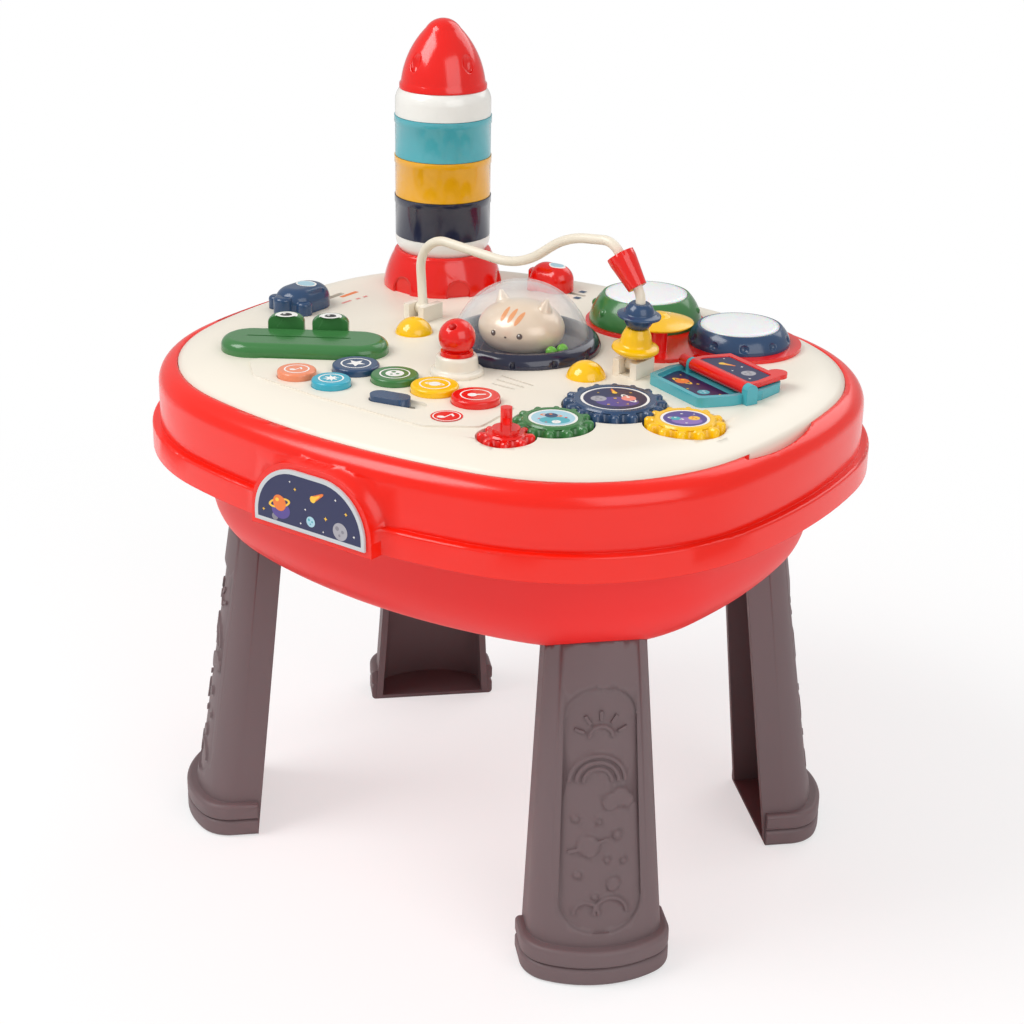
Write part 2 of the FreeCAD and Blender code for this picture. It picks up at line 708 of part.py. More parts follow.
def make_basin():
    lean = math.radians(S.basin_lean.value)
    bend = S.basin_round.value
    top = lip_top.value
    low = S.basin_bottom.value
    drop = top - low - bend + bend * math.sin(lean)
    reach = drop * math.tan(lean) + bend * math.cos(lean)
    centre = (reach, low + bend)
    start = -S.basin_lean.value
    middle = (start - 90) / 2
    inner = bend - wall
    shell = plan_ring(BASIN_PLAN, path([
        (0, top),
        on_arc(centre[0], centre[1], bend, start),
        (reach, low) + on_arc(centre[0], centre[1], bend, middle),
        (reach, low + wall),
        on_arc(centre[0], centre[1], inner, start) + on_arc(centre[0], centre[1], inner, middle),
        (wall / math.cos(lean), top),
    ]))
    lip = plan_slab(RIM_PLAN, wall + S.fit_gap.value, top - wall, top)
    lip = lip.cut(plan_slab(BASIN_PLAN, wall / 2, low, top + wall))
    return shell.fuse([plan_slab(BASIN_PLAN, reach, low, low + wall), lip]).removeSplitter()


def basin_space():
    """The basin's outside as one solid, to trim the legs with."""
    lean = math.radians(S.basin_lean.value)
    bend = S.basin_round.value
    top = lip_top.value
    low = S.basin_bottom.value
    drop = top - low - bend + bend * math.sin(lean)
    reach = drop * math.tan(lean) + bend * math.cos(lean)
    side = plan_ring(BASIN_PLAN, path([
        (0, top),
        on_arc(reach, low + bend, bend, -S.basin_lean.value),
        (reach, low) + on_arc(reach, low + bend, bend, (-S.basin_lean.value - 90) / 2),
        (reach, top),
    ]))
    return side.fuse(plan_slab(BASIN_PLAN, reach, low, top))


# Legs: each is a channel, open on its inner side, that leans outwards from the basin's corner.

def leg_section(half, depth, start, height, inset=0.0):
    """Rounded outline of a leg: u runs outwards from the flat back, v runs across."""
    side = half - inset
    front = start + depth - inset
    bow = 1.5 * half - inset
    corner = 0.5 * half - inset
    spread = side - corner
    centre = V(front - bow, 0, height)
    turn = math.asin(spread / (bow - corner))
    hinge = centre + V(math.cos(turn), math.sin(turn), 0) * (bow - corner)

    def at(point, reach, angle, sign):
        return V(point.x + reach * math.cos(angle), sign * (point.y + reach * math.sin(angle)), height)

    half_turn = (turn + math.pi / 2) / 2
    a = V(start, -side, height)
    b = at(hinge, corner, math.pi / 2, -1)
    c = at(hinge, corner, turn, -1)
    d = at(hinge, corner, turn, 1)
    e = at(hinge, corner, math.pi / 2, 1)
    f = V(start, side, height)
    return Part.Wire([
        Part.LineSegment(a, b).toShape(),
        Part.Arc(b, at(hinge, corner, half_turn, -1), c).toShape(),
        Part.Arc(c, V(front, 0, height), d).toShape(),
        Part.Arc(d, at(hinge, corner, half_turn, 1), e).toShape(),
        Part.LineSegment(e, f).toShape(),
        Part.LineSegment(f, a).toShape(),
    ])


def leg_block(inset, back):
    """Solid of the leg between foot and top; inset moves its faces in and back opens its rear."""
    low = leg_section(S.foot_half.value, S.foot_depth.value, -back, 0.0, inset)
    low_front = leg_section(S.foot_half.value, S.foot_depth.value + back, -back, 0.0, inset)
    high = leg_section(S.leg_top_half.value, S.leg_top_depth.value + back,
                       -S.leg_splay.value - back, S.leg_top.value, inset)
    return Part.makeLoft([low_front if back else low, high], True, True)


def foot_beads():
    """The two round beads of a foot."""
    beads = None
    for step in (0, 1):
        low = step * S.foot_bead.value
        grow = S.foot_lip.value
        section = leg_section(S.foot_half.value + grow, S.foot_depth.value + grow, 0, low)
        bead = Part.Face(section).extrude(V(0, 0, S.foot_bead.value))
        rims = [edge for edge in bead.Edges
                if abs(edge.BoundBox.ZLength) < 1e-6 and edge.BoundBox.XMax > 1.0]
        bead = bead.makeFillet(min(grow, S.foot_bead.value / 2) * 0.9, rims)
        beads = bead if beads is None else beads.fuse(bead)
    return beads


def panel_prism(inset):
    """Tall rounded window of the sunk panel, as a prism through the leg's outer face."""
    low = S.panel_low.value + inset
    high = S.panel_high.value - inset
    bottom = S.panel_half.value * 1.04 - inset
    top = S.panel_half.value * 0.9 - inset
    reach = S.foot_depth.value + S.leg_splay.value
    round_low = bottom * 0.8
    round_high = top * 0.9
    points = [V(0, -bottom, low + round_low), V(0, round_low - bottom, low),
              V(0, bottom - round_low, low), V(0, bottom, low + round_low),
              V(0, top, high - round_high), V(0, top - round_high, high),
              V(0, round_high - top, high), V(0, -top, high - round_high)]
    bend = math.sqrt(0.5)
    mids = {
        0: V(0, -bottom + round_low * (1 - bend), low + round_low * (1 - bend)),
        2: V(0, bottom - round_low * (1 - bend), low + round_low * (1 - bend)),
        4: V(0, top - round_high * (1 - bend), high - round_high * (1 - bend)),
        6: V(0, -top + round_high * (1 - bend), high - round_high * (1 - bend)),
    }
    edges = []
    for index, point in enumerate(points):
        following = points[(index + 1) % len(points)]
        if (following - point).Length < 1e-6:
            continue
        if index in mids:
            edges.append(Part.Arc(point, mids[index], following).toShape())
        else:
            edges.append(Part.LineSegment(point, following).toShape())
    return Part.Face(Part.Wire(edges)).extrude(V(reach + 10, 0, 0))


def disc(v, height, radius):
    """Disc across the leg's panel, as a prism along u."""
    return Part.makeCylinder(radius, 120, V(0, v, height), V(1, 0, 0))


def half_hoop(v, height, outer, inner):
    hoop = disc(v, height, outer).cut(disc(v, height, inner))
    return hoop.common(Part.makeBox(120, 2 * outer, outer, V(0, v - outer, height)))


def bar(v, height, length, width, degrees):
    box = Part.makeBox(120, width, length, V(0, -width / 2, 0))
    box.rotate(V(0, 0, 0), V(1, 0, 0), degrees)
    box.translate(V(0, v, height))
    return box


def relief_prism():
    """Sun, rainbow, cloud, hills, planet and dots of the panel, as prisms along u."""
    unit = S.panel_half.value / 19.0
    low = S.panel_low.value
    span = S.panel_high.value - low
    sun = low + span * 0.80
    shapes = [half_hoop(0, sun, 6.5 * unit, 4.6 * unit)]
    for degrees in (-72, -36, 0, 36, 72):
        angle = math.radians(degrees)
        shapes.append(bar(-8.4 * unit * math.sin(angle), sun + 8.4 * unit * math.cos(angle),
                          4.6 * unit, 1.6 * unit, degrees))
    bow = low + span * 0.62
    for outer in (14.0, 10.8, 7.6):
        shapes.append(half_hoop(-1.5 * unit, bow, outer * unit, (outer - 1.8) * unit))
    cloud = low + span * 0.54
    for v, rise, radius in ((4.5, 0, 4.2), (9.0, 1.5, 4.8), (12.6, -0.5, 3.4)):
        shapes.append(disc(v * unit, cloud + rise * unit, radius * unit))
    planet = low + span * 0.36
    shapes.append(disc(-6 * unit, planet, 5.4 * unit))
    shapes.append(bar(-15.5 * unit, planet - 3.4 * unit, 20 * unit, 1.6 * unit, -70))
    for v, share, radius in ((8, 0.40, 2.4), (3, 0.30, 1.5), (11, 0.29, 1.5), (-11, 0.24, 1.8),
                             (6, 0.20, 3.4), (-3, 0.15, 1.5), (-1, 0.46, 1.4), (-12, 0.47, 1.8)):
        shapes.append(disc(v * unit, low + span * share, radius * unit))
    hill = low + span * 0.075
    shapes.append(half_hoop(-7 * unit, hill, 7 * unit, 5.2 * unit))
    shapes.append(half_hoop(4.5 * unit, hill, 9 * unit, 7.2 * unit))
    return shapes[0].fuse(shapes[1:])


def make_leg_form():
    """One leg in its own frame: u outwards, v across, on the floor."""
    outer = leg_block(0.0, 0.0)
    skin = leg_block(S.panel_depth.value, 5.0)
    relief = leg_block(S.panel_depth.value * 0.35, 5.0)
    inner = leg_block(S.leg_wall.value + S.panel_depth.value, 30.0)
    cut_low = Part.makeBox(400, 400, S.leg_wall.value, V(-200, -200, 0))
    inner = inner.cut(cut_low)
    leg = outer.cut(panel_prism(0).cut(skin))
    leg = leg.fuse(relief_prism().common(panel_prism(1.0)).common(relief))
    beads = foot_beads().cut(outer)
    beads = beads.cut(inner)
    leg = leg.cut(inner).fuse(beads)
    seat_top = S.basin_bottom.value
    deep = S.leg_wall.value * 1.5
    seat = leg_block(S.leg_wall.value * 0.5, 0.0)
    seat = seat.common(Part.makeBox(400, 400, deep, V(-200, -200, seat_top - deep)))
    leg = leg.fuse(seat)
    spot = leg_screw_u()
    boss = Part.makeCylinder(S.boss_radius.value, S.boss_length.value,
                             V(spot, 0, seat_top - S.boss_length.value))
    leg = leg.fuse(boss)
    bore = Part.makeCylinder(S.screw_radius.value, S.screw_length.value + 1,
                             V(spot, 0, seat_top - S.screw_length.value))
    return leg.cut(bore).removeSplitter()


def leg_screw_u():
    """Where the leg's screw stands, outwards from the flat back of the foot."""
    rise = S.basin_bottom.value / S.leg_top.value
    return -S.leg_splay.value * rise + S.leg_screw_in.value


LEG_CORNERS = [
    ("leg_front", 1, -1),
    ("leg_right", 1, 1),
    ("leg_back", -1, 1),
    ("leg_left", -1, -1),
]


def leg_angle(side_x, side_y):
    return math.degrees(math.atan2(side_y, side_x))


def leg_point(u, side_x, side_y):
    """Plan point u outwards from the middle of a foot's flat back."""
    reach = u * math.sqrt(0.5)
    return V(side_x * (S.foot_x.value + reach), side_y * (S.foot_y.value + reach), 0)


basin_outside = basin_space()
leg_form = make_leg_form()
for label, side_x, side_y in LEG_CORNERS:
    foot = leg_point(0, side_x, side_y)
    angle = leg_angle(side_x, side_y)
    trimmer = basin_outside.copy()
    trimmer.translate(foot * -1)
    trimmer.rotate(V(0, 0, 0), V(0, 0, 1), -angle)
    node(made(leg_form.cut(trimmer), foot.x, foot.y, 0, angle, name="Leg"), label)


def screw(x, y, z, length, upward):
    """Pan-head screw whose head rests at z, with its shank up or down."""
    head = S.screw_head
    thick = S.head_height
    if upward:
        corners = [(0, -thick), (head, -thick), (head, 0), (S.screw_radius, 0),
                   (S.screw_radius, length), (0, length)]
    else:
        corners = [(0, -Size.of(length)), (S.screw_radius, -Size.of(length)), (S.screw_radius, 0),
                   (head, 0), (head, thick), (0, thick)]
    return turned(corners, None, x, y, z)


leg_spots = [leg_point(leg_screw_u(), side_x, side_y) for _, side_x, side_y in LEG_CORNERS]
pad_rise = Size.of(1.0)
basin_floor = S.basin_bottom + S.wall + pad_rise
node(group(*[screw(spot.x, spot.y, basin_floor, S.screw_length, False) for spot in leg_spots]),
     "leg_screws")

# Screws that hold the basin's lip under the rim; their bosses hang from the rim's ledge.

rim_boss_u = rim_inset + S.boss_radius + S.fit_gap
RIM_SPOTS = []
for side_x in (1, -1):
    for side_y in (1, -1):
        RIM_SPOTS.append((side_x * (S.half_length - rim_boss_u - S.edge_sag_x), side_y * S.rim_boss_y))
        RIM_SPOTS.append((side_x * S.rim_boss_x, side_y * (S.half_width - rim_boss_u - S.edge_sag_y)))

rim_shell = made(make_rim(), name="RimShell")
ledge_under = ledge_top - S.wall
rim_bosses = [cylinder(S.boss_radius, ledge_under - lip_top, x, y, lip_top) for x, y in RIM_SPOTS]
rim_bores = [cylinder(S.screw_radius, S.screw_length, x, y, lip_top) for x, y in RIM_SPOTS]
node(cut(fuse(rim_shell, *rim_bosses), *rim_bores), "rim")

basin_shell = made(make_basin(), name="BasinShell")
leg_holes = [cylinder(S.screw_radius, 3 * S.wall, spot.x, spot.y, S.basin_bottom - S.wall)
             for spot in leg_spots]
lip_holes = [cylinder(S.screw_radius, 3 * S.wall, x, y, lip_top - 2 * S.wall) for x, y in RIM_SPOTS]
leg_pads = [cylinder(S.boss_radius + 1, S.wall / 2 + pad_rise, spot.x, spot.y, S.basin_bottom + S.wall / 2)
            for spot in leg_spots]
node(cut(fuse(basin_shell, *leg_pads), *leg_holes, *lip_holes), "basin")
lip_low = lip_top - S.wall
node(group(*[screw(x, y, lip_low, S.screw_length, True) for x, y in RIM_SPOTS]), "rim_screws")

# Badge: a half-oval plate in front of the rim's boss.

plate = badge_outline(0, -S.plate_thick.value, 0)
plate.translate(V(-S.badge_x.value, 0, 0))
badge_y = -S.half_width - S.badge_proud
node(made(plate, S.badge_x, badge_y, 0, name="Plate"), "badge_plate")

# Activity board: a shell with a crowned edge, wells, holes and slots.

def crown_profile():
    """Section of the board's edge: skirt, sloping crown and the start of the deck."""
    inset = board_inset.value
    width = S.crown_width.value
    rise = S.crown_rise.value
    bend = (width * width + rise * rise) / (2 * rise)
    inner = bend - wall
    centre = (inset + width, deck.value - bend)
    tilt = math.degrees(math.asin(width / bend))
    skirt = inset + wall
    lean = math.degrees(math.asin((centre[0] - skirt) / inner))
    low = ledge_top.value + S.rest_gap.value
    edge_mid = on_arc(centre[0], centre[1], bend, 90 - tilt / 2)
    back_mid = on_arc(centre[0], centre[1], inner, 90 - lean / 2)
    inner_low = on_arc(centre[0], centre[1], inner, 90 - lean)
    return path([
        (inset, low),
        (inset, S.rim_top.value),
        (centre[0], deck.value) + edge_mid,
        (centre[0], under_deck.value),
        inner_low + back_mid,
        (skirt, low),
    ])


board_shell = plan_ring(RIM_PLAN, crown_profile())
deck_inset = board_inset + S.crown_width
board_shell = board_shell.fuse(plan_slab(RIM_PLAN, deck_inset.value, under_deck.value, deck.value))
board_shell = made(board_shell.removeSplitter(), name="BoardShell")

# Raised field of the music keys.
FIELD = [(-121.0, -125.0), (-95.0, -148.0), (-40.0, -153.0), (48.0, -153.5), (76.0, -133.0),
         (72.0, -92.0), (45.0, -80.0), (-53.0, -80.0)]


def rounded_wire(points, radius, height):
    """Closed outline through points with every corner rounded."""
    edges = []
    count = len(points)
    starts = []
    ends = []
    mids = []
    for index in range(count):
        here = V(*points[index], height)
        before = (V(*points[index - 1], height) - here).normalize()
        after = (V(*points[(index + 1) % count], height) - here).normalize()
        half = math.acos(max(-1, min(1, before.dot(after)))) / 2
        setback = radius / math.tan(half)
        centre = here + (before + after).normalize() * (radius / math.sin(half))
        starts.append(here + before * setback)
        ends.append(here + after * setback)
        mids.append(centre + (here - centre).normalize() * radius)
    for index in range(count):
        edges.append(Part.Arc(starts[index], mids[index], ends[index]).toShape())
        following = starts[(index + 1) % count]
        if (following - ends[index]).Length > 1e-6:
            edges.append(Part.LineSegment(ends[index], following).toShape())
    return Part.Wire(edges)


def rounded_plate(points, radius, low, high):
    return Part.Face(rounded_wire(points, radius, low)).extrude(V(0, 0, high - low))


field = made(rounded_plate(FIELD, 7.0, under_deck.value, deck.value + S.panel_rise.value),
             name="KeyField")

# Places of the gears, from the green one.
pair_mid = S.gear_module * (S.big_teeth + S.mid_teeth) / 2
pair_small = S.gear_module * (S.small_teeth + S.mid_teeth) / 2
big_x = S.gear_x + turned_x(pair_mid, S.gear_to_big)
big_y = S.gear_y + turned_y(pair_mid, S.gear_to_big)
yellow_x = big_x + turned_x(pair_mid, S.big_to_yellow)
yellow_y = big_y + turned_y(pair_mid, S.big_to_yellow)
red_x = S.gear_x + turned_x(pair_small, S.gear_to_red)
red_y = S.gear_y + turned_y(pair_small, S.gear_to_red)
GEARS = [
    ("gear_navy", big_x, big_y, S.big_teeth, S.big_gear_rise, S.big_sticker),
    ("gear_green", S.gear_x, S.gear_y, S.mid_teeth, S.gear_rise, S.mid_sticker),
    ("gear_yellow", yellow_x, yellow_y, S.mid_teeth, S.gear_rise, S.mid_sticker),
    ("gear_red", red_x, red_y, S.small_teeth, S.gear_rise - 1, None),
]
well_gap = S.fit_gap * 4
well_floor = deck - S.gear_well
well_walls = []
well_cuts = []
posts = []
for _, x, y, teeth, rise, _ in GEARS:
    reach = S.gear_module * teeth / 2 + S.lobe_radius + well_gap
    well_walls.append(cylinder(reach + S.wall, S.gear_well + 1, x, y, well_floor - S.wall))
    well_cuts.append(cylinder(reach, S.gear_well + 2 * S.wall, x, y, well_floor))
    posts.append(cylinder(S.gear_post, S.gear_well + rise - 4, x, y, well_floor))

# Keys, switch and sound slits.
KEYS = []
for index, label in enumerate(("key_navy", "key_green", "key_yellow", "key_red")):
    KEYS.append((label, S.key_x + index * S.key_pitch, S.key_y, S.key_radius))
for index, label in enumerate(("key_peach", "key_cyan")):
    KEYS.append((label, S.small_key_x + index * S.small_key_pitch, S.small_key_y,
                 S.small_key_radius))
field_top = deck + S.panel_rise
cuts = [cylinder(radius + S.fit_gap, 3 * S.wall, x, y, under_deck - S.wall) for _, x, y, radius in KEYS]
switch_travel = S.switch_slot - S.switch_knob - 2 * S.fit_gap - 1
stem_length = S.switch_width
recess = S.panel_rise + 1.4
cuts.append(rounded_bar(S.switch_slot, S.switch_width + 2 * S.fit_gap, S.wall * 2, S.switch_x,
                        S.switch_y, field_top - recess, S.switch_turn))
slot_run = stem_length + switch_travel + 2 * S.fit_gap
cuts.append(rounded_bar(slot_run, S.slot_width, S.wall * 3, S.switch_x, S.switch_y,
                        under_deck - S.wall, S.switch_turn))
for index in (-1, 0, 1):
    cuts.append(rounded_bar(S.slit_length + index * 5, 1.6, S.wall * 3, S.speaker_x,
                            S.speaker_y - 3 + index * S.slit_pitch, under_deck - S.wall, -3 - index * 3))

# Slots of the two capsule sliders, holes of the lamps, dome, knob and speaker.
ship_stem = S.slot_width * 2.5
cuts.append(rounded_bar(S.capsule_run + ship_stem + 2 * S.fit_gap, S.slot_width, S.wall * 3,
                        S.capsule_x, S.capsule_y + S.capsule_run / 2, under_deck - S.wall, 90))
cuts.append(rounded_bar(S.pod_run + ship_stem + 2 * S.fit_gap, S.slot_width, S.wall * 3,
                        S.pod_x + S.pod_run / 2, S.pod_y, under_deck - S.wall, 0))
lamp_spots = [(S.lamp_left_x, S.lamp_left_y), (S.lamp_right_x, S.lamp_right_y)]
for x, y in lamp_spots:
    cuts.append(cylinder(S.lamp_radius, 3 * S.wall, x, y, under_deck - S.wall))
hub_radius = S.dome_radius / 4
cuts.append(cylinder(hub_radius + S.shaft_gap, 3 * S.wall, S.dome_x, S.dome_y, under_deck - S.wall))

# Screw bosses between the deck and the board's base.
BOARD_SPOTS = [(-176, 42), (-148, -84), (22, -149), (150, -93), (176, 62), (78, 142), (-60, 98)]
boss_drop = under_deck - S.board_boss_low
board_bosses = [cylinder(S.boss_radius, boss_drop, x, y, S.board_boss_low) for x, y in BOARD_SPOTS]
board_bores = [cylinder(S.screw_radius, S.screw_length, x, y, S.board_boss_low - S.fit_gap)
               for x, y in BOARD_SPOTS]
raised = fuse(board_shell, field, *well_walls, *board_bosses)
opened = cut(raised, *well_cuts, *cuts, *board_bores)
node(fuse(opened, *posts), "activity_board")

# Base under the board, with the battery bay, its door and the posts of the circuit board.
base_low = ledge_top + S.rest_gap + S.fit_gap
base_top = S.board_boss_low
base_inset = board_inset + S.wall + S.fit_gap
base_plate = made(plan_slab(RIM_PLAN, base_inset.value, base_low.value, base_top.value), name="BasePlate")
bay_wall = S.wall * 0.7
bay_width = S.battery_radius * 6 + 2 * S.fit_gap + 1
bay_length = S.battery_length + 4 * S.fit_gap + 3
bay_height = S.battery_radius * 2 + S.fit_gap
bay = block(bay_width + 2 * bay_wall, bay_length + 2 * bay_wall,
            bay_height + bay_wall + (base_top - base_low), S.bay_x, S.bay_y, base_low)
bay_room = block(bay_width, bay_length, bay_height + (base_top - base_low), S.bay_x, S.bay_y, base_low)
circuit_x = S.key_x + 38
circuit_y = S.key_y - 15.5
circuit_length = 4.8 * S.key_pitch
circuit_width = S.small_key_pitch * 2
circuit_low = deck - S.circuit_drop - S.circuit_thick
post_x = circuit_length / 2 - 4
post_y = circuit_width / 2 - 4
stands = []
for sign_x in (1, -1):
    for sign_y in (1, -1):
        stands.append(cylinder(3.5, circuit_low - base_top, circuit_x + sign_x * post_x,
                               circuit_y + sign_y * post_y, base_top))
base_holes = [cylinder(S.screw_radius, 3 * S.wall, x, y, base_low - S.wall) for x, y in BOARD_SPOTS]
node(cut(fuse(base_plate, bay, *stands), bay_room, *base_holes), "board_base")
node(block(bay_width - 2 * S.fit_gap, bay_length - 2 * S.fit_gap, base_top - base_low, S.bay_x,
           S.bay_y, base_low), "battery_door")
cells = []
for index in (-1, 0, 1):
    cell = doc.addObject("Part::Cylinder", "Cell")
    bind(cell, "Radius", S.battery_radius)
    bind(cell, "Height", S.battery_length)
    spot_x = S.bay_x + index * (2 * S.battery_radius + S.fit_gap / 2)
    place(cell, spot_x, S.bay_y + S.battery_length / 2, base_top + S.battery_radius, 90, (1, 0, 0))
    cells.append(cell)
node(group(*cells), "batteries")
node(group(*[screw(x, y, base_low, S.screw_length - 1, True) for x, y in BOARD_SPOTS]), "board_screws")
node(block(circuit_length, circuit_width, S.circuit_thick, circuit_x, circuit_y, circuit_low),
     "circuit_board")
node(block(circuit_length - 6, circuit_width - 2, S.mat_thick, circuit_x, circuit_y,
           circuit_low + S.circuit_thick), "keypad_mat")
cone = S.speaker_radius
node(turned([(0, -16), (cone * 0.5, -16), (cone * 0.5, -9), (cone, -3), (cone, 0), (cone - 2, 0),
             (cone * 0.4, -7), (0, -7)], None, S.speaker_x, S.speaker_y, under_deck), "speaker")

# Lamp domes: hollow caps with a flange under the deck.
lamp = S.lamp_radius
cap = (lamp * lamp + S.lamp_rise * S.lamp_rise) / (2 * S.lamp_rise)
lamp_floor = -S.wall
lamps = []
for x, y in lamp_spots:
    lamps.append(turned([(lamp - 1.5, lamp_floor - 1.5), (lamp + 2, lamp_floor - 1.5), (lamp + 2, lamp_floor),
                         (lamp, lamp_floor), (lamp, 0), (0, S.lamp_rise), (0, S.lamp_rise - 1.5),
                         (lamp - 1.5, 0)],
                        {4: (cap, -1), 6: (((lamp - 1.5) * (lamp - 1.5) + (S.lamp_rise - 1.5)
                                            * (S.lamp_rise - 1.5)) / (2 * (S.lamp_rise - 1.5)), 1)},
                        x, y, deck))
node(group(*lamps), "light_domes")

# Music keys.
for label, x, y, radius in KEYS:
    rise = S.key_rise
    soft = Size.of(1.6)
    mat_top = S.circuit_drop - S.mat_thick
    plunge = mat_top - S.key_travel - S.fit_gap
    flange = S.wall + S.fit_gap
    node(turned([(0, -plunge), (3, -plunge), (3, rise - 2), (radius - 2, rise - 2),
                 (radius - 2, -flange - 2), (radius + S.key_grip, -flange - 2),
                 (radius + S.key_grip, -flange), (radius, -flange), (radius, rise - soft),
                 (radius - soft, rise), (0, rise)],
                {8: (soft, -1)}, x, y, deck), label)

# Slide switch: knob in a recess, with a stem and a foot under the deck.
knob_shift = -switch_travel / 2
knob_x = S.switch_x + turned_x(knob_shift, S.switch_turn)
knob_y = S.switch_y + turned_y(knob_shift, S.switch_turn)
knob_low = field_top - recess + S.fit_gap
knob = rounded_bar(S.switch_knob, S.switch_width, recess - S.fit_gap + S.switch_rise, knob_x, knob_y,
                   knob_low, S.switch_turn)
stem_deep = S.wall - 1.4 + 2 * S.fit_gap
stem = rounded_bar(stem_length, S.slot_width - 2 * S.fit_gap, stem_deep + 2.0, knob_x, knob_y,
                   under_deck - S.fit_gap - 1.0, S.switch_turn)
foot = rounded_bar(stem_length + 4, S.slot_width + 3, 1.8, knob_x, knob_y,
                   under_deck - S.fit_gap - 1.8, S.switch_turn)
node(fuse(knob, stem, foot), "switch_knob")


# Gears with round lobes: lobes and valleys are arcs centred on the pitch circle.

def gear_phase(phase, teeth, direction, other_teeth):
    """Phase of a second gear whose valley takes the first gear's lobe; angles in degrees."""
    share = (direction - phase) / (360.0 / teeth)
    return direction + 180 - (0.5 - share) * (360.0 / other_teeth)


def gear_wire(teeth, phase):
    pitch = S.gear_module.value * teeth / 2
    lobe = S.lobe_radius.value
    step = math.pi / teeth
    chord = 2 * pitch * math.sin(step / 2)
    valley = chord - lobe
    edges = []
    for tooth in range(teeth):
        here = math.radians(phase) + 2 * step * tooth
        spots = []
        for index in range(-1, 3):
            angle = here + index * step
            spots.append(V(math.cos(angle), math.sin(angle), 0) * pitch)
        before = spots[1] + (spots[0] - spots[1]).normalize() * lobe
        after = spots[1] + (spots[2] - spots[1]).normalize() * lobe
        crest = spots[1] + V(spots[1].x, spots[1].y, 0).normalize() * lobe
        following = spots[3] + (spots[2] - spots[3]).normalize() * lobe
        trough = spots[2] - V(spots[2].x, spots[2].y, 0).normalize() * valley
        edges.append(Part.Arc(before, crest, after).toShape())
        edges.append(Part.Arc(after, trough, following).toShape())
    return Part.Wire(edges)


def gear_form(teeth, phase, height, sticker, post_top):
    """Gear on its own axis: lobed rim with a bevelled top, a raised face and a blind bore."""
    pitch = S.gear_module.value * teeth / 2
    rim = Part.Face(gear_wire(teeth, phase)).extrude(V(0, 0, height - 1.2))
    tops = [edge for edge in rim.Edges if edge.BoundBox.ZMin > height - 1.3]
    rim = rim.makeChamfer(1.1, tops)
    face_radius = pitch - S.lobe_radius.value - 0.6
    face = Part.makeCone(face_radius + 0.4, face_radius - 0.8, 1.3, V(0, 0, height - 1.3))
    shape = rim.fuse(face)
    if sticker:
        shape = shape.cut(Part.makeCylinder(sticker, 2, V(0, 0, height - 0.4)))
    bore = S.gear_post.value + S.shaft_gap.value
    return shape.cut(Part.makeCylinder(bore, post_top + S.fit_gap.value * 2, V(0, 0, -1)))


big_teeth = int(S.big_teeth.value)
mid_teeth = int(S.mid_teeth.value)
small_teeth = int(S.small_teeth.value)
green_phase = 0.0
navy_phase = gear_phase(green_phase, mid_teeth, S.gear_to_big.value, big_teeth)
PHASES = {
    "gear_green": green_phase,
    "gear_navy": navy_phase,
    "gear_yellow": gear_phase(navy_phase, big_teeth, S.big_to_yellow.value, mid_teeth),
    "gear_red": gear_phase(green_phase, mid_teeth, S.gear_to_red.value, small_teeth),
}
gear_low = well_floor + S.fit_gap
for label, x, y, teeth, rise, sticker in GEARS:
    height = (deck + rise - gear_low).value
    post_top = (S.gear_well + rise - 4 - S.fit_gap).value + 1
    form = gear_form(int(teeth.value), PHASES[label], height, sticker.value if sticker else 0, post_top)
    gear = made(form, x, y, gear_low, name="Gear")
    if label == "gear_red":
        hub = cylinder(8.5, 3.4, x, y, deck + rise - 0.4)
        fin = block(S.crank_length, 4.6, S.crank_rise - 3, x, y, deck + rise - 0.4, -54)
        knob_top = doc.addObject("Part::Cylinder", "Grip")
        bind(knob_top, "Radius", 3.6)
        bind(knob_top, "Height", S.crank_rise + 3)
        reach = S.crank_length / 2 - 3.6
        place(knob_top, x - turned_x(reach, -54), y - turned_y(reach, -54), deck + rise - 0.4)
        gear = fuse(gear, hub, fin, knob_top)
    node(gear, label)

# Drums and cymbal on a shared red tray.
tray_top = deck + S.tray_rise
drum_tray = [
    cylinder(S.drum_radius + S.tray_margin / 2, S.tray_rise, S.drum_x, S.drum_y, deck),
    cylinder(S.tom_radius + S.tray_margin * 1.5, S.tray_rise, S.tom_x, S.tom_y, deck),
    cylinder(S.cymbal_radius, S.tray_rise, S.cymbal_x, S.cymbal_y + 2, deck),
    block(S.cymbal_radius * 2.2, S.cymbal_radius * 2, S.tray_rise, S.cymbal_x, S.cymbal_y + 24, deck),
    cylinder(S.post_radius, S.cymbal_rise, S.cymbal_x, S.cymbal_y, deck),
]
cymbal_stem = S.post_radius / 2
stem_floor = S.cymbal_rise / 4
node(cut(fuse(*drum_tray), cylinder(cymbal_stem + S.shaft_gap, S.cymbal_rise, S.cymbal_x, S.cymbal_y,
                                    deck + stem_floor)), "drum_tray")


def drum_shell(x, y, radius, rise, pad):
    """Hollow drum with a curved side and an opening for its skin."""
    top = pad + S.fit_gap + 1.6
    skin = Size.of(2.6)
    slope = rise.value * 1.25 + (radius - top).value
    return turned([(radius - skin, 0), (radius, 0), (radius, 2), (top, rise), (pad + S.fit_gap, rise),
                   (pad + S.fit_gap, rise - skin), (top, rise - skin), (radius - skin, 2)],
                  {2: (slope, -1), 6: (slope, 1)}, x, y, tray_top)


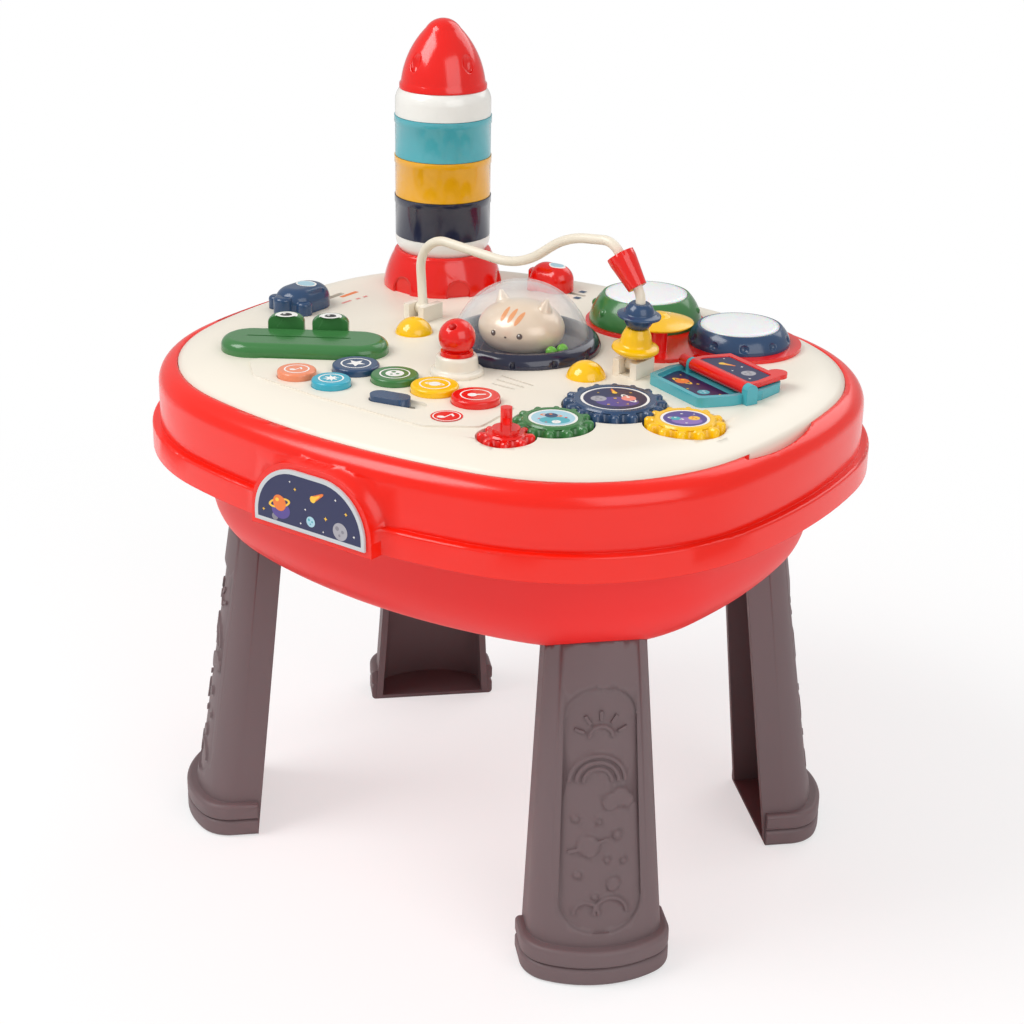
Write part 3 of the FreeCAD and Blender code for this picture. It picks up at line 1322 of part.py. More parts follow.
def drum_skin(x, y, rise, pad):
    """Domed skin with a flange under the shell's edge and a plunger in the middle."""
    crown = Size.of(2.2)
    bend = Size.of((pad.value ** 2 + crown.value ** 2) / (2 * crown.value))
    flange = rise - 2.6 - S.fit_gap
    plunge = S.pad_travel + S.fit_gap
    return turned([(0, plunge), (7, plunge), (7, flange - 2), (pad + 1.6, flange - 2), (pad + 1.6, flange),
                   (pad, flange), (pad, rise + 0.4), (0, rise + 0.4 + crown)],
                  {6: (bend, -1)}, x, y, tray_top)


def studs(x, y, reach, height, count, radius):
    """Balls spread round a drum."""
    items = []
    for index in range(count):
        angle = 360.0 * (index + 0.5) / count
        items.append(ball(radius, x + turned_x(reach, angle), y + turned_y(reach, angle), height))
    return items


green_shell = drum_shell(S.drum_x, S.drum_y, S.drum_radius, S.drum_rise, S.drum_pad)
tom_shell = drum_shell(S.tom_x, S.tom_y, S.tom_radius, S.tom_rise, S.tom_pad)
green_studs = studs(S.drum_x, S.drum_y, S.drum_radius - 4.4, tray_top + S.drum_rise * 0.48, 8, 3.4)
tom_dimples = studs(S.tom_x, S.tom_y, S.tom_radius + 0.6, tray_top + S.tom_rise * 0.5, 10, 3.6)
green_room = cylinder(S.drum_radius - 4.4, S.drum_rise, S.drum_x, S.drum_y, tray_top - 2)
node(fuse(green_shell, *[cut(stud, green_room) for stud in green_studs]), "green_drum_shell")
node(cut(tom_shell, *tom_dimples), "navy_drum_shell")
node(drum_skin(S.drum_x, S.drum_y, S.drum_rise, S.drum_pad), "green_drum_skin")
node(drum_skin(S.tom_x, S.tom_y, S.tom_rise, S.tom_pad), "navy_drum_skin")
hub_low = S.cymbal_rise + S.cymbal_travel + S.fit_gap
edge_low = hub_low + 0.4
plate_radius = S.cymbal_radius
plate_bend = plate_radius * 3.0
stem_end = stem_floor + S.cymbal_travel + S.fit_gap
node(turned([(0, stem_end), (cymbal_stem, stem_end), (cymbal_stem, hub_low), (plate_radius - 1.5, edge_low),
             (plate_radius, edge_low + 1.4), (plate_radius * 0.32, edge_low + 5.4),
             (plate_radius * 0.2, edge_low + 7.4), (0, edge_low + 7.8)],
            {4: (plate_bend, -1)}, S.cymbal_x, S.cymbal_y, deck), "cymbal")

# Clear dome with its ring, the cat's head and two rattle beads: they turn together.
ring_low = S.rest_gap
ring_floor = ring_low + S.wall
ring_top = S.ring_rise
inner_ring = S.dome_radius
ring = turned([(0, -2 * S.wall), (hub_radius, -2 * S.wall), (hub_radius, ring_low), (S.ring_radius, ring_low),
               (S.ring_radius, ring_low + 2), (inner_ring + 2.6, ring_top), (inner_ring, ring_top),
               (inner_ring, ring_floor), (0, ring_floor)],
              {4: (S.ring_rise, -1)}, S.dome_x, S.dome_y, deck)
notches = []
for index in range(12):
    angle = 30.0 * index
    notches.append(cylinder(1.6, 4, S.dome_x + turned_x(S.ring_radius - 0.2, angle),
                            S.dome_y + turned_y(S.ring_radius - 0.2, angle), deck + ring_low + 1))
node(cut(ring, *notches), "dome_ring")
cap_rise = S.dome_rise - S.ring_rise
dome_bend = (inner_ring * inner_ring + cap_rise * cap_rise) / (2 * cap_rise)
thin = inner_ring - S.dome_wall
thin_rise = cap_rise - S.dome_wall
thin_bend = (thin * thin + thin_rise * thin_rise) / (2 * thin_rise)
node(turned([(thin, ring_floor), (inner_ring, ring_floor), (inner_ring, ring_top), (0, S.dome_rise),
             (0, S.dome_rise - S.dome_wall), (thin, ring_top)],
            {2: (dome_bend, -1), 4: (thin_bend, 1)}, S.dome_x, S.dome_y, deck), "clear_dome")
cat_x = S.dome_x + 3
cat_y = S.dome_y - 4
head = doc.addObject("Part::Ellipsoid", "Head")
bind(head, "Radius1", (S.cat_rise - ring_floor) * 0.62)
bind(head, "Radius2", S.cat_width - 2)
bind(head, "Radius3", S.cat_depth - 1)
place(head, cat_x, cat_y, deck + S.cat_rise - (S.cat_rise - ring_floor) * 0.62)
below_head = block(3 * S.cat_width, 3 * S.cat_width, S.cat_width, cat_x, cat_y,
                   deck + ring_floor - S.cat_width)
ears = []
for side in (-1, 1):
    ear = doc.addObject("Part::Cone", "Ear")
    bind(ear, "Radius1", 9.5)
    bind(ear, "Radius2", 1.2)
    bind(ear, "Height", 16)
    spot = Size.of(side) * S.cat_width * 0.46
    place(ear, cat_x + spot, cat_y + 2, deck + S.cat_rise - 12, side * 16.0, (0, 1, 0))
    ears.append(ear)
node(cut(fuse(head, *ears), below_head), "cat_head")
bead_radius = Size.of(3.8)
bead_reach = thin - bead_radius - 1
node(group(*[ball(bead_radius, S.dome_x + turned_x(bead_reach, angle), S.dome_y + turned_y(bead_reach, angle),
                  deck + ring_floor + bead_radius) for angle in (-24.0, -10.5)]), "rattle_beads")

# Ball knob in its cup.
collar = S.knob_cup - 2.7
cup_top = S.knob_cup_rise
collar_low = cup_top - 2.7
stem = S.knob_radius * 0.45
bend_foot = Size.of(1.6)
node(turned([(0, 0), (S.knob_foot, 0), (S.knob_foot, 1.4), (S.knob_foot - bend_foot, 3),
             (S.knob_cup + 1, 3.4), (S.knob_cup, cup_top - 1), (S.knob_cup - 1, cup_top),
             (collar + S.fit_gap, cup_top),
             (collar + S.fit_gap, collar_low - S.fit_gap), (stem + S.shaft_gap, collar_low - S.fit_gap),
             (stem + S.shaft_gap, 2.6), (0, 2.6)],
            {2: (bend_foot, -1)}, S.knob_x, S.knob_y, deck), "knob_cup")
ball_low = cup_top + 1.6
reach_low = S.knob_rise - ball_low
mouth = Size.of(math.sqrt(S.knob_radius.value ** 2 - reach_low.value ** 2))
ball_part = ball(S.knob_radius, S.knob_x, S.knob_y, deck + S.knob_rise)
collar_part = cylinder(collar, ball_low - collar_low + 1, S.knob_x, S.knob_y, deck + collar_low)
stem_part = cylinder(stem, collar_low + 1 - 3, S.knob_x, S.knob_y, deck + 3)
hole = doc.addObject("Part::Cylinder", "Hole")
bind(hole, "Radius", 2.6)
bind(hole, "Height", S.knob_radius)
place(hole, S.knob_x + 2, S.knob_y - 3, deck + S.knob_rise + 4, 40, (1, 0, 0))
node(cut(fuse(ball_part, collar_part, stem_part), hole), "ball_knob")

# Bead wire: two clevises, the wire with its pins, and three beads.
wire_turn = S.arch_turn


def wire_point(run, across=0):
    """Plan point along the wire's span."""
    x = S.arch_left_x + turned_x(run, wire_turn) - turned_y(across, wire_turn)
    y = S.arch_left_y + turned_y(run, wire_turn) + turned_x(across, wire_turn)
    return x, y


ear_length = S.eye_length + 2 * S.fit_gap + 2 * S.wall + 4
clevises = []
for run in (Size.of(0), S.wire_low_run):
    x, y = wire_point(run)
    body = block(ear_length, S.ear_width, S.ear_rise, x, y, deck, wire_turn)
    gap = block(S.eye_length + 2 * S.fit_gap, S.ear_width * 2, S.ear_rise, x, y, deck + 1.2, wire_turn)
    hole = doc.addObject("Part::Cylinder", "PinHole")
    bind(hole, "Radius", S.pin_radius + S.shaft_gap)
    bind(hole, "Height", ear_length - S.wall)
    half = (ear_length - S.wall) / 2
    hx, hy = wire_point(Size.of(run) - half)
    hole.Placement = FreeCAD.Placement(V(hx.value, hy.value, (deck + S.pin_rise).value),
                                       FreeCAD.Rotation(wire_turn.value, 90, 0))
    clevises.append(cut(body, gap, hole))
node(group(*clevises), "arch_clevises")


def wire_path():
    """Centre line of the wire in its own plane: straight runs with round bends."""
    spots = [(0, S.pin_rise.value, 0), (-4, 60, 22), (86, 53.5, 60), (125, 81, 60),
             (S.wire_top_run.value, S.wire_top_rise.value, 14),
             (S.wire_bend_run.value, S.wire_bend_rise.value, 15),
             (S.wire_low_run.value, S.pin_rise.value, 0)]
    edges = []
    last = V(spots[0][0], 0, spots[0][1])
    for index in range(1, len(spots) - 1):
        here = V(spots[index][0], 0, spots[index][1])
        before = (V(spots[index - 1][0], 0, spots[index - 1][1]) - here).normalize()
        after = (V(spots[index + 1][0], 0, spots[index + 1][1]) - here).normalize()
        radius = spots[index][2]
        half = math.acos(before.dot(after)) / 2
        setback = radius / math.tan(half)
        centre = here + (before + after).normalize() * (radius / math.sin(half))
        start = here + before * setback
        end = here + after * setback
        edges.append(Part.LineSegment(last, start).toShape())
        middle = centre + (here - centre).normalize() * radius
        edges.append(Part.Arc(start, middle, end).toShape())
        last = end
    edges.append(Part.LineSegment(last, V(spots[-1][0], 0, spots[-1][1])).toShape())
    return Part.Wire(edges)


def make_wire():
    route = wire_path()
    first = V(0, 0, S.pin_rise.value)
    way = V(-4, 0, 60 - S.pin_rise.value)
    ring_face = Part.Wire([Part.Circle(first, way, S.arch_radius.value).toShape()])
    tube = route.makePipeShell([ring_face], True, False)
    parts = []
    for run in (0.0, S.wire_low_run.value):
        half = S.eye_length.value / 2
        parts.append(Part.makeCylinder(S.arch_radius.value + 1.2, 2 * half,
                                       V(run - half, 0, S.pin_rise.value), V(1, 0, 0)))
        pin = (ear_length - S.wall).value / 2 - S.fit_gap.value
        parts.append(Part.makeCylinder(S.pin_radius.value, 2 * pin, V(run - pin, 0, S.pin_rise.value),
                                       V(1, 0, 0)))
    return tube.fuse(parts).removeSplitter()


node(made(make_wire(), S.arch_left_x, S.arch_left_y, deck, wire_turn, name="Wire"), "bead_arch")


def along_wire(corners, run, rise, lean, arcs=None):
    """Bead of revolution about the wire; run and rise are its lower end, lean is from upright."""
    x, y = wire_point(run)
    bead = turned(corners, arcs)
    height = deck + rise
    lean = Size.of(lean)
    bead.Placement = FreeCAD.Placement(V(x.value, y.value, height.value),
                                       FreeCAD.Rotation(wire_turn.value, lean.value, 0))
    bead.setExpression("Placement", "placement(vector(%s; %s; %s); rotation(%s; %s; 0))" % (
        x.text, y.text, height.text, wire_turn.text, lean.text))
    return bead


bore = S.arch_radius + S.bead_gap
low_run = S.wire_bend_run - S.wire_low_run
low_rise = S.wire_bend_rise - S.pin_rise
low_lean = math.degrees(math.atan2(low_run.value, low_rise.value))
saucer_at = (S.saucer_low - S.pin_rise) / low_rise
node(along_wire([(bore, 0), (8.5, 0), (13.5, 2.6), (15.5, 4.6), (15.0, 6.6), (10.8, 8), (9.4, 14.5),
                 (7.2, S.saucer_height), (bore, S.saucer_height)],
                S.wire_low_run + low_run * saucer_at, S.saucer_low, low_lean), "bead_saucer")
planet_low = S.saucer_low + S.saucer_height + S.fit_gap
planet_at = (planet_low - S.pin_rise) / low_rise
half_planet = S.planet_height / 2
planet_bend = Size.of(10.2)
node(along_wire([(bore, 0), (6.2, 0), (9.9, half_planet - 1.8), (14.2, half_planet - 0.6),
                 (14.2, half_planet + 0.6), (9.9, half_planet + 1.8), (6.2, S.planet_height),
                 (bore, S.planet_height)],
                S.wire_low_run + low_run * planet_at, planet_low, low_lean,
                {1: (planet_bend, -1), 5: (planet_bend, -1)}), "bead_planet")
high_run = S.wire_bend_run - S.wire_top_run
high_rise = S.wire_top_rise - S.wire_bend_rise
high_lean = -math.degrees(math.atan2(high_run.value, high_rise.value))
high_length = math.hypot(high_run.value, high_rise.value)
tip_at = 5.4 / high_length
node(along_wire([(bore, 0), (6.4, 0), (9.2, 20), (9.2, S.tip_bead_length), (bore, S.tip_bead_length)],
                S.wire_bend_run - high_run * tip_at, S.wire_bend_rise + high_rise * tip_at, high_lean),
     "bead_red")

# Frog: a long rounded body with a slit and two round eye mounds.


def softened(body, radius, test):
    """Round the edges of a padded body that pass a test."""
    doc.recompute()
    pad = body.Tip
    names = ["Edge%d" % (index + 1) for index, edge in enumerate(pad.Shape.Edges) if test(edge.BoundBox)]
    fillet = body.newObject("PartDesign::Fillet", "Soft")
    fillet.Base = (pad, names)
    bind(fillet, "Radius", radius)
    body.Tip = fillet
    return body


def at_height(height):
    value = Size.of(height).value
    return lambda box: abs(box.ZMin - value) < 1e-4 and abs(box.ZMax - value) < 1e-4


frog = softened(rounded_bar(S.frog_length, S.frog_width, S.frog_rise, S.frog_x, S.frog_y, deck,
                            S.frog_turn), S.frog_rise * 0.66, at_height(S.frog_rise))
slit = rounded_bar(S.frog_length * 0.62, 1.8, S.frog_rise, S.frog_x - turned_x(4, S.frog_turn),
                   S.frog_y - turned_y(4, S.frog_turn), deck + S.frog_rise * 0.5, S.frog_turn)
node(cut(frog, slit), "frog_body")
eyes = []
for shift in (-16, 14):
    side = S.frog_width / 2 + 3.5
    x = S.frog_x + turned_x(shift, S.frog_turn) - turned_y(side, S.frog_turn)
    y = S.frog_y + turned_y(shift, S.frog_turn) + turned_x(side, S.frog_turn)
    eye = S.eye_radius
    eyes.append(turned([(0, 0), (eye, 0), (eye, S.eye_rise - 5), (eye - 4, S.eye_rise - 1), (0, S.eye_rise)],
                       {2: (5, -1)}, x, y, deck))
node(cut(group(*eyes), rounded_bar(S.frog_length, S.frog_width, 3 * S.frog_rise, S.frog_x, S.frog_y,
                                   deck - 1, S.frog_turn)), "frog_eyes")

# Book: a teal tray in two halves, a hinge rod and the red leaf.


def book_place(along, across):
    """Plan point of the book: along its hinge and across it."""
    x = S.book_x + turned_x(along, S.book_turn) - turned_y(across, S.book_turn)
    y = S.book_y + turned_y(along, S.book_turn) + turned_x(across, S.book_turn)
    return x, y


def book_outline(grow):
    """Outline of the open book: longest at the hinge, with round outer corners."""
    half = S.book_length.value / 2 + grow
    edge = S.book_edge.value / 2 + grow
    leaf = S.book_leaf.value + grow
    return [(-half, -leaf * 0.35), (-edge, -leaf), (edge, -leaf), (half, -leaf * 0.35),
            (half, leaf * 0.35), (edge, leaf), (-edge, leaf), (-half, leaf * 0.35)]


border = Size.of(3.6)
book_block = made(rounded_plate(book_outline(0), 5.0, 0, S.book_rise.value), S.book_x, S.book_y, deck,
                  S.book_turn, "BookBlock")
book_hollow = made(rounded_plate(book_outline(-border.value), 4.0, S.book_floor.value, S.book_rise.value + 1),
                   S.book_x, S.book_y, deck, S.book_turn, "BookHollow")
tube_gap = S.tube_radius + S.fit_gap
knuckle_length = Size.of(5.5)
half_book = S.book_length / 2
ends = []
for along in (half_book + knuckle_length / 2 - 1, -half_book * 0.72):
    x, y = book_place(along, 0)
    length = knuckle_length * (1.0 if along.value > 0 else 0.5)
    ends.append(block(length, 2 * S.tube_radius, S.book_axis, x, y, deck, S.book_turn))
    top = doc.addObject("Part::Cylinder", "Knuckle")
    bind(top, "Radius", S.tube_radius)
    bind(top, "Height", length)
    x, y = book_place(along - length / 2, 0)
    top.Placement = FreeCAD.Placement(V(x.value, y.value, (deck + S.book_axis).value),
                                      FreeCAD.Rotation(S.book_turn.value, 90, 0))
    ends.append(top)


def hinge_round(radius, start, end, name):
    """Cylinder on the book's hinge line between two places along it."""
    item = doc.addObject("Part::Cylinder", name)
    bind(item, "Radius", radius)
    bind(item, "Height", end - start)
    x, y = book_place(start, 0)
    item.Placement = FreeCAD.Placement(V(x.value, y.value, (deck + S.book_axis).value),
                                       FreeCAD.Rotation(S.book_turn.value, 90, 0))
    return item


right_end = half_book - 1
tube_bed = hinge_round(tube_gap, -half_book * 1.2, right_end, "TubeBed")
left_mid = -half_book * 0.72
left_half = knuckle_length * 0.25
rod_hole = hinge_round(S.rod_radius, -half_book, right_end + knuckle_length - 1, "RodHole")
tray_base = cut(book_block, book_hollow, tube_bed)
node(cut(fuse(tray_base, *ends), rod_hole), "book_tray")
node(hinge_round(S.rod_radius, -half_book + 1.5, right_end + knuckle_length - 1, "Rod"), "book_rod")


def make_leaf():
    """Leaf with its hinge tube, flat on the back half of the tray."""
    half = S.book_length.value / 2 - 3
    edge = S.book_edge.value / 2
    leaf = S.book_leaf.value
    thick = S.leaf_thick.value
    points = [(-half, 0), (half - 1, 0), (half - 1, leaf * 0.4), (edge - 1, leaf - 1), (1 - edge, leaf - 1),
              (-half, leaf * 0.4)]
    corners = [V(x, y, -thick / 2) for x, y in points]
    sides = [Part.LineSegment(one, other).toShape() for one, other in zip(corners, corners[1:] + corners[:1])]
    plate = Part.Face(Part.Wire(sides)).extrude(V(0, 0, thick))
    tab = Part.makeCylinder(6.5, thick, V(edge * 0.72, leaf + 1.5, -thick / 2))
    window = rounded_plate([(4 - half, 7), (half - 5, 7), (half - 5, leaf * 0.4), (edge - 5, leaf - 5),
                            (5 - edge, leaf - 5), (4 - half, leaf * 0.4)], 2.0, 0, 1)
    upper = window.copy()
    upper.translate(V(0, 0, thick / 2 - 0.5))
    lower = window.copy()
    lower.translate(V(0, 0, -thick / 2 - 0.5))
    shape = plate.fuse(tab).cut(upper).cut(lower)
    bead = S.tube_radius.value
    first = -half_book.value
    last = right_end.value - S.fit_gap.value
    shape = shape.fuse(Part.makeCylinder(bead, last - first, V(first, 0, 0), V(1, 0, 0)))
    gap_low = (left_mid - left_half - S.fit_gap).value
    gap_high = (left_mid + left_half + S.fit_gap).value
    slot = Part.makeBox(gap_high - gap_low, 4 * bead, 4 * bead, V(gap_low, -2.9 * bead, -2 * bead))
    slot = slot.common(Part.makeCylinder(bead + 1.2, gap_high - gap_low, V(gap_low, 0, 0), V(1, 0, 0)))
    shape = shape.cut(slot)
    swing = Part.makeCylinder(bead + S.fit_gap.value + 1.2, gap_high - gap_low, V(gap_low, 0, 0), V(1, 0, 0))
    shape = shape.cut(swing)
    bore = Part.makeCylinder(S.rod_radius.value + S.shaft_gap.value, 3 * half, V(-1.5 * half, 0, 0),
                             V(1, 0, 0))
    return shape.cut(bore).removeSplitter()


node(made(make_leaf(), S.book_x, S.book_y, deck + S.book_axis, S.book_turn, "Leaf"), "book_leaf")

# Rocket: scalloped base, five stacked rings and the nose cone.
fin = S.fin_radius
fin_top = S.fin_rise
seat_radius = Size.of(31.5)
shelf = S.first_cup_low - S.rest_gap
base = turned([(fin - 5.2, 0), (fin, 0), (fin, 2.5), (fin - 7.6, fin_top - 2.5), (fin - 9.6, fin_top),
               (seat_radius, fin_top), (seat_radius, shelf), (0, shelf), (0, shelf - 2.6),
               (seat_radius - 2.6, shelf - 2.6)],
              {2: (70, -1), 3: (3, -1)}, S.rocket_x, S.rocket_y, deck)
scoops = []
for index in range(6):
    angle = 60.0 * index + 24
    scoop = doc.addObject("Part::Cylinder", "Scoop")
    bind(scoop, "Radius", 8.5)
    bind(scoop, "Height", 20)
    reach = fin - 2.6
    x = S.rocket_x + turned_x(reach, angle)
    y = S.rocket_y + turned_y(reach, angle)
    scoop.Placement = FreeCAD.Placement(V(x.value, y.value, (deck + 3).value),
                                        FreeCAD.Rotation(angle, 90, 0))
    scoops.append(scoop)
node(cut(base, *scoops), "rocket_base")

band = Size.of(0.6)
mouth = S.cup_radius - S.cup_wall
spigot = mouth - S.fit_gap - 0.1
low_height = S.first_cup_high - S.first_cup_low
bowl = Size.of(14.4)
bowl_flat = S.cup_radius - bowl
floor_thick = S.cup_wall
node(turned([(0, 0), (bowl_flat, 0), (S.cup_radius, bowl), (S.cup_radius, low_height), (mouth, low_height),
             (mouth, bowl), (bowl_flat, floor_thick), (0, floor_thick)],
            {1: (bowl, -1), 5: (bowl - floor_thick, 1)}, S.rocket_x, S.rocket_y, deck + S.first_cup_low),
     "cup_lower")


def cup(label, low, height):
    """Ring with a spigot below, a raised band at the top and a floor."""
    high = Size.of(height)
    step = high - S.cup_band
    return node(turned([(0, -S.cup_spigot), (spigot, -S.cup_spigot), (spigot, 0), (S.cup_radius, 0),
                        (S.cup_radius, step), (S.cup_radius + band, step + band),
                        (S.cup_radius + band, high), (mouth, high), (mouth, floor_thick),
                        (spigot - S.cup_wall, floor_thick), (spigot - S.cup_wall, floor_thick - S.cup_spigot),
                        (0, floor_thick - S.cup_spigot)],
                       None, S.rocket_x, S.rocket_y, deck + low), label)


next_low = S.first_cup_high + S.rest_gap
for label in ("cup_navy", "cup_mustard", "cup_teal"):
    cup(label, next_low, S.cup_height - S.rest_gap)
    next_low = next_low + S.cup_height
shoulder = Size.of(9.0)
top_height = S.top_cup_height - S.rest_gap
top_mouth = S.nose_radius - S.cup_wall - 1.2
shoulder_in = S.cup_radius - S.nose_radius + 0.4
node(turned([(0, -S.cup_spigot), (spigot, -S.cup_spigot), (spigot, 0), (S.cup_radius, 0),
             (S.cup_radius, top_height - shoulder), (S.cup_radius - shoulder_in, top_height),
             (top_mouth, top_height), (top_mouth, floor_thick), (spigot - S.cup_wall, floor_thick),
             (spigot - S.cup_wall, floor_thick - S.cup_spigot), (0, floor_thick - S.cup_spigot)],
            {4: (13, -1)}, S.rocket_x, S.rocket_y, deck + next_low), "cup_top")
nose_low = next_low + S.top_cup_height
nose = S.nose_radius
tip = Size.of(12.5)
nose_spigot = top_mouth - S.fit_gap
body = turned([(0, -S.cup_spigot), (nose_spigot, -S.cup_spigot), (nose_spigot, 0), (nose, 0), (nose, 3),
               (nose - 1.2, 4.6), (tip, S.nose_height - 7), (0, S.nose_height)],
              {5: (64, -1), 6: ((tip * tip + 49) / 14, -1)}, S.rocket_x, S.rocket_y, deck + nose_low)
dimples = []
for angle in (-100.0, -10.0, 80.0, 170.0):
    dimple = doc.addObject("Part::Ellipsoid", "Dimple")
    bind(dimple, "Radius1", 9)
    bind(dimple, "Radius2", 4)
    bind(dimple, "Radius3", 5)
    reach = nose * 0.86
    place(dimple, S.rocket_x + turned_x(reach, angle), S.rocket_y + turned_y(reach, angle),
          deck + nose_low + S.nose_height * 0.46, angle)
    dimples.append(dimple)
node(cut(body, *dimples), "nose_cone")

# Capsule sliders: each has a domed body, side lobes, and a stem with a foot in its slot.


def slider(label, x, y, length, width, rise, turn, lobes):
    """Domed slider whose nose points along its slot."""
    shell = softened(rounded_bar(length, width, rise, x, y, deck + S.rest_gap, turn), rise * 0.62,
                     at_height(rise))
    pieces = [shell]
    for along, across, radius, high in lobes:
        lx = x + turned_x(along, turn) - turned_y(across, turn)
        ly = y + turned_y(along, turn) + turned_x(across, turn)
        pieces.append(turned([(0, 0), (radius, 0), (radius, high - 2.5), (radius - 2.5, high), (0, high)],
                             {2: (2.5, -1)}, lx, ly, deck + S.rest_gap))
    pieces.append(rounded_bar(ship_stem, S.slot_width - 2 * S.fit_gap, S.wall + 2 * S.rest_gap + 2, x, y,
                              under_deck - S.fit_gap - 0.8, turn))
    pieces.append(rounded_bar(ship_stem + 5, S.slot_width + 4, 1.8, x, y, under_deck - S.fit_gap - 1.8,
                              turn))
    return node(fuse(*pieces), label)


slider("slider_navy", S.capsule_x, S.capsule_y, 42, 31, 16, 90,
       [(-20, 0, 7, 12), (-13, 13, 5.5, 9), (-13, -13, 5.5, 9)])
slider("slider_red", S.pod_x, S.pod_y, 34, 24, 19, 0, [(-14, 0, 6, 13), (-9, 10, 5, 9), (-9, -10, 5, 9)])

doc.recompute()
for item in doc.Objects:
    if "Invalid" in item.State or "Error" in item.State:
        raise RuntimeError("%s failed: %s" % (item.Label, item.getStatusString()))
for item in NODES:
    if item.Shape.isNull() or not item.Shape.isValid():
        raise RuntimeError("%s has no valid shape" % item.Label)

os.makedirs("parts", exist_ok=True)
for item in NODES:
    item.Shape.exportStep("parts/%s.step" % item.Label)
print("%d parts written" % len(NODES))
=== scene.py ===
"""Looks of a toddler's musical activity table: finishes, printed pictures, studio and camera."""

import json
import logging
import math
from dataclasses import dataclass, field
from enum import Enum
from typing import Any, Optional

import bmesh
import bpy
from mathutils import Matrix, Vector
from mathutils.bvhtree import BVHTree


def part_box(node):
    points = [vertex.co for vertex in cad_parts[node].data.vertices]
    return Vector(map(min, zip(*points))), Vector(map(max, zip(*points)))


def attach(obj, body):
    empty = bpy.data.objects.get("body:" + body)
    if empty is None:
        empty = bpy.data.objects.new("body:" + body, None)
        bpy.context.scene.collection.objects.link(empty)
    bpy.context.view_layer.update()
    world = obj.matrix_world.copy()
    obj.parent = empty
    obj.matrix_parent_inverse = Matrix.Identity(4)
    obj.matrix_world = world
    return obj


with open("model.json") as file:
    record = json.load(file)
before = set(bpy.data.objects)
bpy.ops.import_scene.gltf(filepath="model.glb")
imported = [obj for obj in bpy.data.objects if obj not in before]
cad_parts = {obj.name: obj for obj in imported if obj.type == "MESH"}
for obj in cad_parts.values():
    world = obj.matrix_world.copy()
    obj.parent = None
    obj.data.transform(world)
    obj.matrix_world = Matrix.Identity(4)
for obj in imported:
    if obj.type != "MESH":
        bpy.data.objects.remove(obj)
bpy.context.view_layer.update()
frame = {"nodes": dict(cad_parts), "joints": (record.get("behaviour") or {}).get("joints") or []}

log = logging.getLogger("activity_table")
MM = 0.001
DECK = 0.353
FILM = 0.00004
FLAT_FILM = 0.000012


class Hue(Enum):
    """Colours of the table's plastics and inks, as sRGB hex."""

    RIM = "#f31b05"
    BASIN = "#f0120c"
    RED = "#ea1206"
    CREAM = "#efe7d8"
    BASE = "#cfc6b6"
    LEG = "#6e5b5d"
    NAVY = "#23263d"
    DENIM = "#2b476b"
    GREEN = "#3c7a40"
    TEAL = "#4aacb8"
    MUSTARD = "#f0ac02"
    YELLOW = "#ffc602"
    WHITE = "#efede7"
    SKIN = "#eff0f1"
    PEACH = "#f08e66"
    CYAN = "#33a9c1"
    PEARL = "#eed8bf"
    WIRE = "#ece2cf"
    LIME = "#6cc02c"
    STEEL = "#b9bcbf"
    LAMINATE = "#1f5a33"
    BLACK = "#1b1a1c"
    RUBBER = "#bdbcb8"
    SHRINK = "#34343a"
    SKY = "#1d2350"
    VIOLET = "#54438f"
    DUSK = "#8f6fb5"
    PALE_SKY = "#a9d0de"
    MOON = "#a9a6ad"
    CRATER = "#85828b"
    ORANGE = "#ee7a2c"
    SUN = "#f9c63c"
    PINK = "#ef8f86"
    STRIPE = "#e89a5e"
    PAPER = "#f4f2ee"
    GREY = "#c9ccce"
    BROWN = "#4a2d22"
    GLASS = "#f4f8fa"
    FLOOR = "#ffffff"


def linear(hue: Hue, alpha: float = 1.0) -> tuple[float, float, float, float]:
    """Turn a colour into Blender's linear values.

    Args:
        hue: colour to turn.
        alpha: fourth value.

    Returns:
        Linear red, green, blue and alpha.
    """
    channels = []
    for start in (1, 3, 5):
        value = int(hue.value[start : start + 2], 16) / 255
        channels.append(value / 12.92 if value <= 0.04045 else ((value + 0.055) / 1.055) ** 2.4)
    return channels[0], channels[1], channels[2], alpha


def add_node(
    tree: bpy.types.NodeTree,
    kind: str,
    values: Optional[dict[Any, Any]] = None,
    links: Optional[dict[Any, bpy.types.NodeSocket]] = None,
    **settings: Any,
) -> bpy.types.Node:
    """Add a shader node.

    Args:
        tree: tree that takes the node.
        kind: the node's Blender type.
        values: constants by input socket.
        links: sources by input socket.
        **settings: the node's own attributes.

    Returns:
        The new node.
    """
    node = tree.nodes.new(kind)
    for key, value in settings.items():
        setattr(node, key, value)
    for key, value in (values or {}).items():
        node.inputs[key].default_value = value
    for key, source in (links or {}).items():
        tree.links.new(source, node.inputs[key])
    return node


def blank_material(name: str) -> tuple[bpy.types.Material, bpy.types.NodeTree]:
    """Start a material with an empty node tree.

    Args:
        name: the material's name.

    Returns:
        The material and its tree.
    """
    material = bpy.data.materials.new(name)
    material.use_nodes = True
    material.node_tree.nodes.clear()
    return material, material.node_tree


